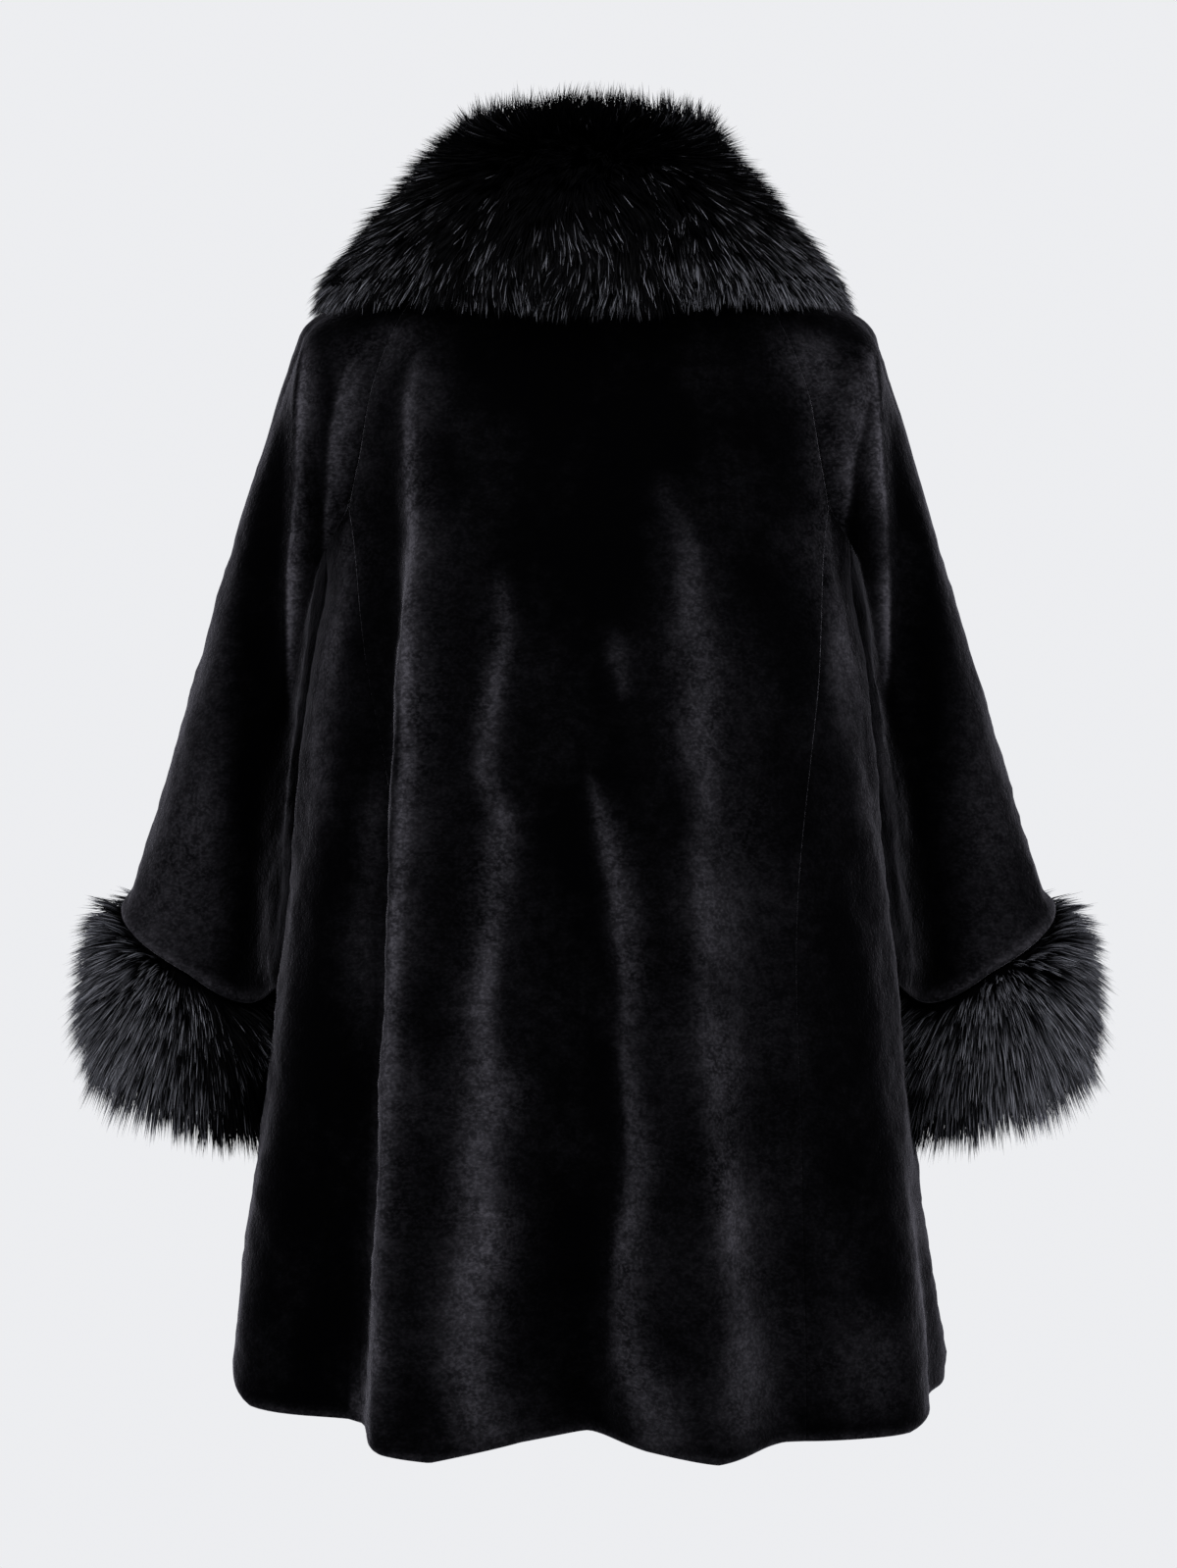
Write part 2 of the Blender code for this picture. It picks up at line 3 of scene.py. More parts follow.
import bpy
import numpy as np
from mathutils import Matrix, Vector, kdtree


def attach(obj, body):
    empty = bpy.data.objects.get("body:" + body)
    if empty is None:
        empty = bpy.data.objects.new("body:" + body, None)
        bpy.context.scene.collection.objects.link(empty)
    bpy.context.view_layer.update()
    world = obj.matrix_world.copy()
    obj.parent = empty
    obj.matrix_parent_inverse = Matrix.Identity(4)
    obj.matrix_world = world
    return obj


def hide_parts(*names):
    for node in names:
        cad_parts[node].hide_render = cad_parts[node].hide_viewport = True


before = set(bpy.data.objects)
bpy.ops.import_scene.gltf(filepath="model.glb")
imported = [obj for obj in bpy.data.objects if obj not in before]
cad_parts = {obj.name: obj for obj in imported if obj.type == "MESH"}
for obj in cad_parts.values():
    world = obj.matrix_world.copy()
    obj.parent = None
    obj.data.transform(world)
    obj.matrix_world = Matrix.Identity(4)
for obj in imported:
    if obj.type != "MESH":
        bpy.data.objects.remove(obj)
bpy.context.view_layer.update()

# The coat in its worn shape. Metres, +Z up, the back of the coat facing +Y and the
# wearer's left +X. Angles round the body are in degrees from the middle of the back.

LEFT = 1
RIGHT = -1
SIDES = {"left": LEFT, "right": RIGHT}
DOWN = np.array([0.0, 0.0, -1.0])

# How far down the neck seam, the armpit, the hem, the start of the hem's rise, and the
# place where the sleeve starts to lie beside the body.
NECK = 0.012
ARMPIT = 0.209
HEM = 0.842
HEM_RISE_TOP = 0.45
SIDE_TOP = 0.19

# The arm's place round the body, in degrees, and how far to either side it reaches.
ARM_MIDDLE = 88.5
ARM_SPREAD = 29.5

# The thickness of the cloth and of the fur's ground, and how the cloth ends: open edges
# are round, seams are drawn in a little, and no swell comes near either.
CLOTH = 0.007
PELT = 0.003
EDGE_ROUND = CLOTH / 2
# EDGE_LIGHT is the strength of the light painted into the nap along open edges.
EDGE_LIGHT = 0.22
SEAM_DRAWN = 0.0005
SEAM_WIDE = 0.0024
CALM = 0.012

# How far collar and sleeves hang to one side, and where the collar's round ends are.
COLLAR_SLIP = 0.004
SLEEVE_SLIP = 0.004
COLLAR_END = 176.0
COLLAR_ROUND = 14.0
COLLAR_PARTS = ("back", "front", "side")

# How far the sleeve's inner side turns in and its lower edge turns out, its room beside
# the body, the share of its length in which it parts from there, and the cuff's room.
SLEEVE_TURN = 0.014
SLEEVE_LIP = 0.0055
SLEEVE_CLEARANCE = 0.005
SLEEVE_PARTED = 0.3
CUFF_CLEARANCE = 0.004
CUFF_START = 0.0009

# Steps along the cloth, and the points round the armhole.
LEVEL_STEP = 0.0047
YOKE_LEVELS = (NECK, 0.022, 0.035, 0.052, 0.072, 0.095, 0.122, 0.152, 0.181, ARMPIT)
NECK_COLUMNS = 2
UNDERARM_COLUMNS = 8
ARM_PARTS = 4

HAIR_WIDTH = 0.00075
HAIR_COLUMNS = 64  # the first half is dark to the tip, the rest paler and paler


def table(names, *rows):
    """Named columns of numbers. Those named before the bar are given in millimetres."""
    lengths, _, others = names.partition("|")
    lengths, others = lengths.split(), others.split()
    units = [1000] * len(lengths) + [1] * len(others)
    return dict(zip(lengths + others, (np.array(rows, float) / units).T))


def streak(*rows):
    """One streak of painted sheen on the nap."""
    return table("down across left right | light", *rows)


# The body's sections, one row a level.
BODY = table(
    "down half_width back front front_drop under_arm | square",
    (12, 80, 68, 62, 34, 0, 0.06),
    (35, 126, 88, 84, 32, 0, 0.06),
    (70, 174, 107, 102, 26, 0, 0.06),
    (120, 192, 126, 118, 16, 0, 0.06),
    (180, 190, 140, 130, 6, 14, 0.06),
    (209, 187, 145, 134, 3, 27, 0.05),
    (245, 187, 150, 138, 1, 18, 0.05),
    (285, 193, 154, 142, 0, 9, 0.04),
    (330, 199, 159, 147, 0, 1, 0.04),
    (470, 212, 171, 160, 0, 0, 0.03),
    (660, 232, 187, 178, 0, 0, 0.03),
    (810, 251, 198, 190, 0, 0, 0.03),
    (842, 254, 200, 192, 0, 0, 0.03),
)

# The raglan seams on the body, and the side seam with the line below the front raglan.
RAGLAN = table(
    "down | back front",
    (12, 48, 130),
    (35, 46.5, 131.5),
    (70, 43, 134),
    (120, 46.7, 131),
    (180, 53.3, 124),
    (209, 59, 118),
)
SIDE_SEAM = table(
    "down | seam front",
    (209, 59, 118),
    (300, 52, 117),
    (383, 45.5, 116),
    (465, 40.8, 116),
    (648, 37.3, 116),
    (842, 34.3, 116),
)

# The large folds: how far down each starts and is fully formed, how far it stands out at
# the hem, its angle where it starts and at the hem, and its width on either side.
FOLDS = table(
    "start full out | top hem right left",
    (50, 500, 31, 36, 28.5, 11, 4.8),
    (50, 500, -23, 46, 40, 4.8, 9),
    (240, 760, -22, 9, 3, 8.5, 7.5),
    (680, 840, -12, -1, -1, 4, 4),
    (220, 720, 26, -13, -17.5, 9, 8),
    (260, 800, -10, -31, -30, 6, 7),
    (400, 840, 10, -58, -52, 12, 10),
    (400, 840, 10, 66, 60, 10, 12),
    (600, 840, -10, -78, -75, 9, 8),
    (600, 840, -12, 98, 94, 10, 10),
    (600, 840, 12, -104, -108, 12, 11),
    (550, 840, 14, 124, 122, 12, 12),
    (300, 800, -14, -132, -134, 9, 9),
    (340, 800, -13, 146, 147, 9, 8),
    (260, 800, 14, -152, -156, 9, 10),
    (300, 800, 10, 163, 166, 8, 8),
)
HEM_RISE = table(
    "rise | angle",
    (16, -180),
    (18, -110),
    (16, -80),
    (4, -55),
    (6, -31),
    (0, -18),
    (6, -8),
    (14, 0),
    (10, 10),
    (0, 22),
    (8, 33),
    (15, 42),
    (19, 60),
    (37, 78),
    (36, 100),
    (24, 130),
    (16, 180),
)

# The sleeve's sections, from the armhole to the cuff seam, and the fold behind the arm.
SLEEVE = table(
    "over_x over_z under_x under_z middle_y half_depth tilt | along blend",
    (80, -12, 186, -236, 0, 100, 0, 0, 0),
    (122, -34, 188, -246, 0, 100, 0, 0.08, 0.12),
    (160, -53, 189, -256, 0, 100, 0, 0.16, 0.28),
    (188, -64.5, 189, -268, -1, 99, 0, 0.23, 0.46),
    (202, -75, 189, -282, -2, 98, 1, 0.29, 0.62),
    (209, -91, 190, -299, -3, 97, 2, 0.35, 0.76),
    (218, -118, 192.5, -320, -4, 95, 3, 0.42, 0.88),
    (235.2, -175, 198, -350, -6, 93, 5, 0.51, 0.96),
    (256, -244, 205, -390, -9, 91, 7, 0.63, 1),
    (281, -328, 212, -438, -12, 90, 10, 0.76, 1),
    (308, -416, 220, -496, -15, 89, 12, 0.89, 1),
    (329.5, -486.5, 226, -545, -18, 88, 14, 1, 1),
)
ARM_FOLD = table(
    "down across inner outer depth",
    (85, 206, 10, 14, 0),
    (120, 209, 11, 16, 12),
    (175, 213, 12, 20, 19),
    (230, 217, 12, 22, 20),
    (290, 219, 13, 24, 19),
    (350, 219, 13, 24, 16),
    (430, 219, 13, 24, 8),
    (500, 219, 13, 24, 0),
)
# The hollow beside it, where the upper sleeve turns in towards the armpit.
ARM_HOLLOW = table(
    "down across half_width depth",
    (90, 200, 4, 0),
    (125, 193, 7, 7),
    (170, 189, 7, 9),
    (215, 185, 5, 6),
    (240, 184, 4, 0),
)

# Lines round the collar at the reach of its fur, and how far below that the pelt lies.
COLLAR = table(
    "back_r back_z side_r side_z front_r front_z depth",
    (66, -9, 76.5, -9.5, 59, -45.5, 1),
    (57, 20, 66, 18, 51, -15, 4),
    (59, 50, 65, 48, 54, 12, 9),
    (72, 69, 74, 68, 68, 28, 18),
    (98, 67, 96, 61, 93, 19, 22),
    (126, 43, 122, 36, 120, -8, 20),
    (149, 5, 150, 6, 142, -43, 18),
    (164, -38, 179, -25, 158, -82, 16),
    (166, -70, 191, -48, 164, -116, 14),
    (152, -80, 185, -57, 152, -128, 9),
    (130, -60, 166, -50, 127, -108, 3),
    (108, -32, 134, -34.5, 105, -80, 1),
    (86, -13.9, 103, -19.4, 81, -58.4, 1),
)

# Small creases pressed into the cloth by hand, on the back: their middle, half length,
# half width, how far they stand out, and how steeply they rise to the wearer's left.
BACK_CREASES = table(
    "across down long wide out | lean",
    (26, 665, 26, 5, -2.2, -4),
    (6, 718, 24, 5.5, 2.6, -14),
    (4, 735, 30, 9, -2.6, -10),
    (132, 757, 18, 5, -2.2, 58),
    (120, 768, 20, 7, 2, 50),
    (169, 700, 26, 9, 1.8, -45),
    (180, 655, 22, 8, -1.6, -25),
    (-143, 744, 24, 7, 2, 65),
    (-150, 700, 22, 9, -1.4, 20),
    (-92, 682, 26, 12, 2, 88),
    (-195, 760, 24, 8, 1.8, 6),
    (-200, 785, 24, 7, -1.4, 12),
    (26, 605, 20, 8, 1.6, 75),
    (-26, 310, 24, 12, 1.6, 80),
    (118, 235, 20, 10, -2.4, 25),
    (150, 300, 30, 14, 1.8, -50),
    (62, 345, 30, 15, -1.8, 84),
    (55, 455, 34, 13, 1.6, 80),
)

# Streaks of painted sheen on the back and the sleeves, where light is painted into the
# nap's colour: for each streak how far down it is, its place across, its half widths to
# the wearer's left and right, and its strength.
STREAKS = {
    "fold_edge": streak(
        (100, 116, 3, 5, 0),
        (139, 123, 3, 5, 0.4),
        (243, 122, 3, 5, 0.72),
        (386, 123, 3, 6, 0.72),
        (560, 132, 3, 6, 0.64),
        (776, 144, 3, 6, 0.6),
        (815, 152, 3, 6, 0.48),
    ),
    "fold_face": streak(
        (94, 114, 5, 13, 0),
        (139, 114, 6, 19, 0.07),
        (300, 111, 8, 23, 0.09),
        (560, 123, 8, 22, 0.07),
        (815, 140, 8, 22, 0.05),
    ),
    "left_flank": streak(
        (253, 60, 5, 5, 0),
        (300, 57, 8, 6, 0.36),
        (352, 65, 8, 7, 0.43),
        (393, 71, 6, 8, 0.37),
        (407, 65, 8, 8, 0.22),
        (419, 57, 8, 6, 0.4),
        (460, 58, 9, 7, 0.58),
        (503, 65, 9, 7, 0.52),
        (551, 71, 10, 9, 0.65),
        (603, 67, 14, 13, 0.72),
        (668, 70, 14, 13, 0.72),
        (733, 74, 14, 13, 0.61),
        (776, 78, 16, 14, 0.5),
        (822, 70, 17, 17, 0.4),
    ),
    "middle": streak(
        (390, 0, 3, 3, 0),
        (407, -4, 3, 6, 0.26),
        (434, -11, 4, 9, 0.38),
        (486, -19, 4, 12, 0.46),
        (529, -26, 4, 10, 0.36),
        (568, -24, 3, 9, 0.32),
        (616, -27, 3, 10, 0.4),
        (651, -27, 3, 12, 0.46),
        (733, -20, 5, 14, 0.34),
        (776, -23, 6, 17, 0.4),
        (802, -33, 8, 19, 0.37),
        (828, -42, 9, 21, 0.25),
    ),
    "right_flank": streak(
        (204, -53, 6, 6, 0.08),
        (243, -68, 8, 8, 0.26),
        (278, -67, 9, 10, 0.32),
        (321, -73, 13, 13, 0.42),
        (365, -76, 12, 13, 0.42),
        (425, -78, 9, 11, 0.4),
        (551, -83, 9, 13, 0.46),
        (625, -87, 9, 13, 0.36),
        (681, -94, 9, 13, 0.42),
        (724, -98, 12, 14, 0.32),
        (815, -104, 14, 16, 0.18),
    ),
    "right_field": streak(
        (240, -95, 35, 30, 0),
        (340, -98, 38, 35, 0.04),
        (560, -105, 44, 40, 0.06),
        (800, -115, 50, 50, 0.05),
    ),
    "right_corner": streak(
        (740, -180, 16, 16, 0),
        (778, -196, 24, 20, 0.17),
        (808, -200, 26, 18, 0.12),
    ),
    "spot": streak(
        (295, -20, 5, 5, 0),
        (313, -21, 6, 6, 0.17),
        (334, -24, 4, 5, 0.1),
        (346, -24, 3, 4, 0),
    ),
    "left_panel": streak(
        (386, 141, 4, 4, 0),
        (419, 146, 6, 6, 0.13),
        (503, 153, 10, 6, 0.15),
        (601, 152, 8, 6, 0),
    ),
    "left_shoulder": streak(
        (71, 114, 16, 16, 0),
        (94, 135, 26, 19, 0.26),
        (120, 150, 20, 14, 0.2),
        (146, 158, 10, 9, 0.08),
        (169, 172, 6, 6, 0),
    ),
    "right_shoulder": streak(
        (74, -123, 16, 16, 0),
        (94, -143, 17, 21, 0.27),
        (120, -159, 18, 19, 0.35),
        (152, -163, 14, 14, 0.25),
        (185, -163, 9, 8, 0.2),
        (243, -168, 3, 3, 0),
    ),
    "left_tip": streak(
        (100, 158, 2, 6, 0),
        (121, 168, 2, 9, 0.5),
        (157, 176, 2, 13, 0.62),
        (190, 178, 2, 15, 0.55),
        (235, 181, 2, 13, 0.4),
    ),
    "right_tip": streak(
        (92, -200, 5, 2, 0),
        (110, -197, 10, 2, 0.5),
        (134, -192, 13, 2, 0.62),
        (177, -181, 14, 2, 0.55),
        (230, -174, 13, 2, 0.4),
    ),
    "left_side": streak(
        (235, 180, 2, 14, 0.34),
        (256, 182, 2, 14, 0.46),
        (337, 190, 2, 12, 0.44),
        (413, 196, 2, 11, 0.34),
    ),
    "right_side": streak(
        (230, -167, 14, 2, 0.3),
        (271, -176, 14, 2, 0.46),
        (337, -187, 12, 2, 0.44),
        (413, -197, 11, 2, 0.34),
    ),
}


def curve(rows, name, at, key="down"):
    """A smooth curve through one column of a table, read at some values of its key."""
    keys = rows[key]
    values = rows[name]
    slopes = np.gradient(values, keys)
    at = np.clip(at, keys[0], keys[-1])
    i = np.clip(np.searchsorted(keys, at, side="right") - 1, 0, len(keys) - 2)
    step = keys[i + 1] - keys[i]
    t = (at - keys[i]) / step
    rise = values[i + 1] - values[i]
    start = slopes[i] * step
    end = slopes[i + 1] * step
    bend = 3 * rise - 2 * start - end + t * (start + end - 2 * rise)
    return values[i] + t * (start + t * bend)


def read(rows, at, key="down"):
    """What every column of a table says at some values of its key, by smooth curves."""
    return {name: curve(rows, name, at, key) for name in rows if name != key}


def ease(x):
    """0 below 0, 1 above 1, and a smooth step between."""
    x = np.clip(x, 0, 1)
    return x * x * (3 - 2 * x)


def near(x, width):
    """1 at 0, fading smoothly to either side."""
    return np.exp(-((x / width) ** 2))


def each_row(rows):
    """The rows of a table, each as named numbers."""
    return [dict(zip(rows, values)) for values in zip(*rows.values())]


def unit(v):
    """Vectors brought to length 1."""
    return v / np.maximum(np.linalg.norm(v, axis=-1, keepdims=True), 1e-12)


def hem_rise(angle, down):
    """How far the lower edge rises round the body, fading upwards."""
    rise = np.interp(angle, HEM_RISE["angle"], HEM_RISE["rise"])
    return rise * ease((down - HEM_RISE_TOP) / (HEM - HEM_RISE_TOP))


def fold_out(angle, down):
    """How far the folds push the cloth out."""
    total = np.zeros(np.broadcast(angle, down).shape)
    for fold in each_row(FOLDS):
        grown = ease((down - fold["start"]) / (fold["full"] - fold["start"]))
        fallen = np.clip((down - fold["start"]) / (HEM - fold["start"]), 0, 1)
        off = angle - (fold["top"] + (fold["hem"] - fold["top"]) * fallen)
        width = np.where(off > 0, fold["left"], fold["right"])
        total = total + fold["out"] * grown * near(off, width)
    return total


def depth_of_body(behind, down):
    """How far the body reaches from front to back, on the side that is asked for."""
    return np.where(behind > 0, curve(BODY, "back", down), curve(BODY, "front", down))


def body_point(angle, down):
    """A point of the body's outer face."""
    angle, down = np.broadcast_arrays(np.asarray(angle, float), np.asarray(down, float))
    turn = np.radians(angle)
    across = np.sin(turn)
    behind = np.cos(turn)
    here = read(BODY, down)
    half_width = here["half_width"]
    half_depth = depth_of_body(behind, down)
    swell = 1 + here["square"] * np.sin(2 * turn) ** 2
    facing = unit(np.stack([across / half_width, behind / half_depth], axis=-1))
    out = fold_out(angle, down)
    arm = np.clip(1 - np.abs(np.abs(angle) - ARM_MIDDLE) / ARM_SPREAD, 0, 1)
    lift = hem_rise(angle, down)
    x = half_width * across * swell + facing[..., 0] * out
    y = half_depth * behind * swell + facing[..., 1] * out
    z = lift - down - here["front_drop"] * np.maximum(-behind, 0) ** 1.5
    z = z - here["under_arm"] * ease(arm)
    return np.stack([x, y, z], axis=-1)


def side_of_body(side, y, z):
    """How far one side of the body reaches across, at a distance behind and a height."""
    down = -z
    share = np.clip(y / depth_of_body(y, down), -0.999, 0.999)
    angle = 90 - np.degrees(np.arcsin(share))
    return np.abs(body_point(side * angle, down)[..., 0])


def armhole():
    """Angles and depths on the body round the left armhole, and its lowest point."""
    steps = len(YOKE_LEVELS) - 1
    places = np.linspace(0, steps, steps * ARM_PARTS + 1)
    yoke = np.interp(places, np.arange(steps + 1), YOKE_LEVELS)
    back = curve(RAGLAN, "back", yoke)
    front = curve(RAGLAN, "front", yoke)
    over_back = np.linspace(90, back[0], NECK_COLUMNS * ARM_PARTS + 1)[:-1]
    under = np.linspace(back[-1], front[-1], UNDERARM_COLUMNS * ARM_PARTS + 1)[1:-1]
    over_front = np.linspace(front[0], 90, NECK_COLUMNS * ARM_PARTS + 1)[1:-1]
    angles = np.concatenate([over_back, back, under, front[::-1], over_front])
    downs = np.concatenate([
        np.full(len(over_back), NECK),
        yoke,
        np.full(len(under), ARMPIT),
        yoke[::-1],
        np.full(len(over_front), NECK),
    ])
    lowest = len(over_back) + len(yoke) + UNDERARM_COLUMNS * ARM_PARTS // 2 - 1
    return angles, downs, lowest


def round_arm(loop, lowest):
    """The angle round the arm of each point of the armhole, from its length."""
    steps = np.linalg.norm(np.roll(loop, -1, axis=0) - loop, axis=1)
    walked = np.concatenate([[0], np.cumsum(steps)])
    back = math.pi * walked[:-1] / walked[lowest]
    front = math.pi * (1 + (walked[:-1] - walked[lowest]) / (walked[-1] - walked[lowest]))
    return np.where(np.arange(len(loop)) < lowest, back, front)


def arm_section(turn, along):
    """Points round the arm of a plain section of the sleeve."""
    here = read(SLEEVE, along, "along")
    inner = np.maximum(-np.cos(turn), 0)
    swell = 1 + (0.05 + 0.20 * inner * np.abs(np.sin(turn))) * np.sin(2 * turn) ** 2
    up = np.cos(turn) * swell
    behind = np.sin(turn) * swell
    turned_in = SLEEVE_TURN * inner * behind * ease(along / 0.4)
    x = (here["over_x"] + here["under_x"] + (here["over_x"] - here["under_x"]) * up) / 2
    z = (here["over_z"] + here["under_z"] + (here["over_z"] - here["under_z"]) * up) / 2
    y = here["middle_y"] + here["half_depth"] * behind
    return np.stack([x + turned_in, y, z - here["tilt"] * behind], axis=-1)


def keep_clear(side, points, clearance, softness=0.006):
    """Points moved across where they would come too near the side of the body."""
    nearest = side_of_body(side, points[..., 1], points[..., 2]) + clearance
    beyond = points[..., 0] - nearest
    moved = points.copy()
    moved[..., 0] = nearest + (beyond + np.sqrt(beyond**2 + softness**2)) / 2
    return moved


def fold_place(points):
    """How far across points of a left sleeve are from the fold's valley, in widths."""
    fold = read(ARM_FOLD, -points[..., 2])
    off = points[..., 0] - fold["across"]
    return off / np.where(off < 0, fold["inner"], fold["outer"])


def sleeve_ring(side, loop, turn, along):
    """Points round the outer face of a sleeve at one place along it, as on the left."""
    here = read(SLEEVE, along, "along")
    middle_across = (here["over_x"] + here["under_x"]) / 2
    off_section = loop - arm_section(turn, 0.0)
    ring = arm_section(turn, along) + (1 - here["blend"]) * off_section
    down = -ring[:, 2]
    depth = curve(ARM_FOLD, "depth", down) * near(fold_place(ring), 1)
    hollow = read(ARM_HOLLOW, down)
    depth += hollow["depth"] * near(ring[:, 0] - hollow["across"], hollow["half_width"])
    ring[:, 1] -= depth * ease((along - 0.04) / 0.16) * np.clip(ring[:, 1] / 0.05, -1, 1)
    parted = ease(along / SLEEVE_PARTED)
    outer = ease((ring[:, 0] - middle_across) / 0.03)
    ring[:, 0] += side * SLEEVE_SLIP * parted * (1 - along) * outer
    if along == 0:
        return ring
    clear = keep_clear(side, ring, SLEEVE_CLEARANCE * parted, 0.001 + 0.005 * parted)
    return ring + (clear - ring) * ease((down - SIDE_TOP) / 0.02)[:, None]


def waves(points, size, seed, count=28):
    """An even, random swell over points, from waves of about one size and height."""
    random = np.random.default_rng(seed)
    total = np.zeros(points.shape[:-1])
    for _ in range(count):
        way = unit(random.normal(size=3)) * random.uniform(0.7, 1.4) * 2 * math.pi / size
        total += np.sin(points @ way + random.uniform(0, 2 * math.pi))
    return total / math.sqrt(count)


def grid_normals(points, wrapped=False):
    """The direction square to a grid of points at each point."""
    down = np.gradient(points, axis=0)
    if wrapped:
        across = np.roll(points, -1, axis=1) - np.roll(points, 1, axis=1)
    else:
        across = np.gradient(points, axis=1)
    return unit(np.cross(down, across))


def graded(length, step, edges=(True, True)):
    """Distances from 0 to a length, even in the middle and fine near the chosen ends."""
    fine = np.array([0.0, 0.0009, 0.0021, 0.0036, 0.0056, 0.0084])
    start = fine if edges[0] else fine[:1]
    end = fine if edges[1] else fine[:1]
    inner = length - start[-1] - end[-1]
    even = np.linspace(0, inner, max(int(round(inner / step)), 2) + 1)[1:-1]
    return np.concatenate([start, start[-1] + even, (length - end)[::-1]])


def boundary(quads):
    """Edges that only one face uses, as a list of starts and one of ends."""
    count = quads.max() + 1
    starts = quads.ravel()
    ends = np.roll(quads, -1, axis=1).ravel()
    alone = ~np.isin(starts * count + ends, ends * count + starts)
    return starts[alone], ends[alone]


def nearness(points, lines):
    """How far each point is from the nearest of some lines of points."""
    dense = [
        line[i] + (line[i + 1] - line[i]) * part
        for line in lines
        for i in range(len(line) - 1)
        for part in (0, 0.25, 0.5, 0.75)
    ]
    dense += [line[-1] for line in lines]
    tree = kdtree.KDTree(len(dense))
    for i, point in enumerate(dense):
        tree.insert(point, i)
    tree.balance()
    return np.array([tree.find(point)[2] for point in points])


def put(name, data):
    """An object made of some data, in the scene."""
    piece = bpy.data.objects.new(name, data)
    bpy.context.scene.collection.objects.link(piece)
    return piece


def add_mesh(name, points, corners, sides, material, smooth=True):
    """A piece from points and faces. sides says how many corners each face has in turn."""
    corners = np.asarray(corners, np.int32).ravel()
    totals = np.tile(np.array(sides, np.int32), len(corners) // sum(sides))
    starts = (np.cumsum(totals) - totals).astype(np.int32)
    mesh = bpy.data.meshes.new(name)
    mesh.vertices.add(len(points))
    mesh.vertices.foreach_set("co", np.asarray(points, np.float32).ravel())
    mesh.loops.add(len(corners))
    mesh.loops.foreach_set("vertex_index", corners)
    mesh.polygons.add(len(totals))
    mesh.polygons.foreach_set("loop_start", starts)
    mesh.polygons.foreach_set("loop_total", totals)
    mesh.polygons.foreach_set("use_smooth", np.broadcast_to(smooth, len(totals)))
    mesh.update(calc_edges=True)
    mesh.materials.append(material)
    return put(name, mesh)


def turned_out(points, quads):
    """Quads, reversed if they turn the closed mesh inside out."""
    halves = points[np.concatenate([quads[:, :3], quads[:, (0, 2, 3)]])]
    inside = np.einsum("ij,ij->i", halves[:, 0], np.cross(halves[:, 1], halves[:, 2]))
    return quads[:, ::-1] if inside.sum() < 0 else quads


def wall(name, outer, inner, quads, material, smooth=True):
    """A closed wall: its outer face, its inner face, and the rim between."""
    starts, ends = boundary(quads)
    count = len(outer)
    rim = np.stack([ends, starts, starts + count, ends + count], axis=1)
    faces = np.concatenate([quads, quads[:, ::-1] + count, rim])
    both = np.concatenate([outer, inner])
    return add_mesh(name, both, turned_out(both, faces), [4], material, smooth)


def cloth_wall(name, points, normals, quads, seams, edges, material, light):
    """A piece of cloth with soft seams and round open edges, with light painted into its nap as
    light says.
    """
    points = points.reshape(-1, 3)
    normals = normals.reshape(-1, 3)
    from_seam = nearness(points, seams)
    from_edge = nearness(points, edges)
    swell = cloth_swell(points) * (ease(from_seam / CALM) * ease(from_edge / CALM))
    drawn = SEAM_DRAWN * np.exp(-from_seam / SEAM_WIDE)
    inwards = np.clip(EDGE_ROUND - from_edge, 0, EDGE_ROUND - 0.0001)
    rolled = EDGE_ROUND - np.sqrt(EDGE_ROUND**2 - inwards**2)
    outer = points + normals * (swell - drawn - rolled)[:, None]
    inner = points - normals * (CLOTH - rolled)[:, None]

    used, corners = np.unique(quads, return_inverse=True)
    corners = corners.reshape(-1, 4)
    rim = used[boundary(corners)[0]]
    open_rim = from_edge[rim] < from_seam[rim] + 0.0005
    smooth = np.append(np.ones(2 * len(corners), bool), open_rim)
    piece = wall(name, outer[used], inner[used], corners, material, smooth)

    # Painted sheen: the light given, and painted light along the open edges, kept on the outer
    # face for the nap's colour.
    light = np.maximum(light.ravel(), EDGE_LIGHT * near(from_edge, 0.004))
    both = np.append(light[used], np.zeros(len(used)))
    painted_sheen = piece.data.attributes.new("painted_sheen", "FLOAT", "POINT")
    painted_sheen.data.foreach_set("value", both.astype(np.float32))
    return piece


def streaks(points):
    """How much painted sheen the nap's colour gets at some points of the coat."""
    down = -points[..., 2]
    strayed = 0.0022 * waves(points * (1, 1, 0.6), 0.045, 21)
    strayed = strayed + 0.0011 * waves(points, 0.014, 22)
    left_unlit = np.ones(down.shape)
    for rows in STREAKS.values():
        at = {name: np.interp(down, rows["down"], column) for name, column in rows.items()}
        off = points[..., 0] - at["across"]
        width = np.where(off > 0, at["left"], at["right"])
        off = off + strayed * np.clip(width / 0.012, 0.2, 1)
        share = 0.84 * near(off, width) + 0.16 * near(off / width, 2.4)
        ended = ease((rows["down"][-1] + 0.03 - down) / 0.03)
        begun = ease((down - rows["down"][0] + 0.02) / 0.02)
        left_unlit = left_unlit * (1 - at["light"] * share * begun * ended)
    uneven = np.clip(0.80 + 0.28 * waves(points * (1, 1, 0.7), 0.055, 23), 0.2, 1.2)
    return (1 - left_unlit) * uneven * ease((points[..., 1] - 0.01) / 0.05)


def side_light(points, normals):
    """How much light is painted into the nap where the coat turns away at its sides."""
    down = -points[..., 2]
    beside = np.abs(points[..., 0]) / curve(BODY, "half_width", down)
    turned = 0.75 * near(normals[..., 1], 0.14) + 0.17 * near(normals[..., 1], 0.32)
    return turned * ease((beside - 0.80) / 0.12) * ease((down - 0.21) / 0.04)


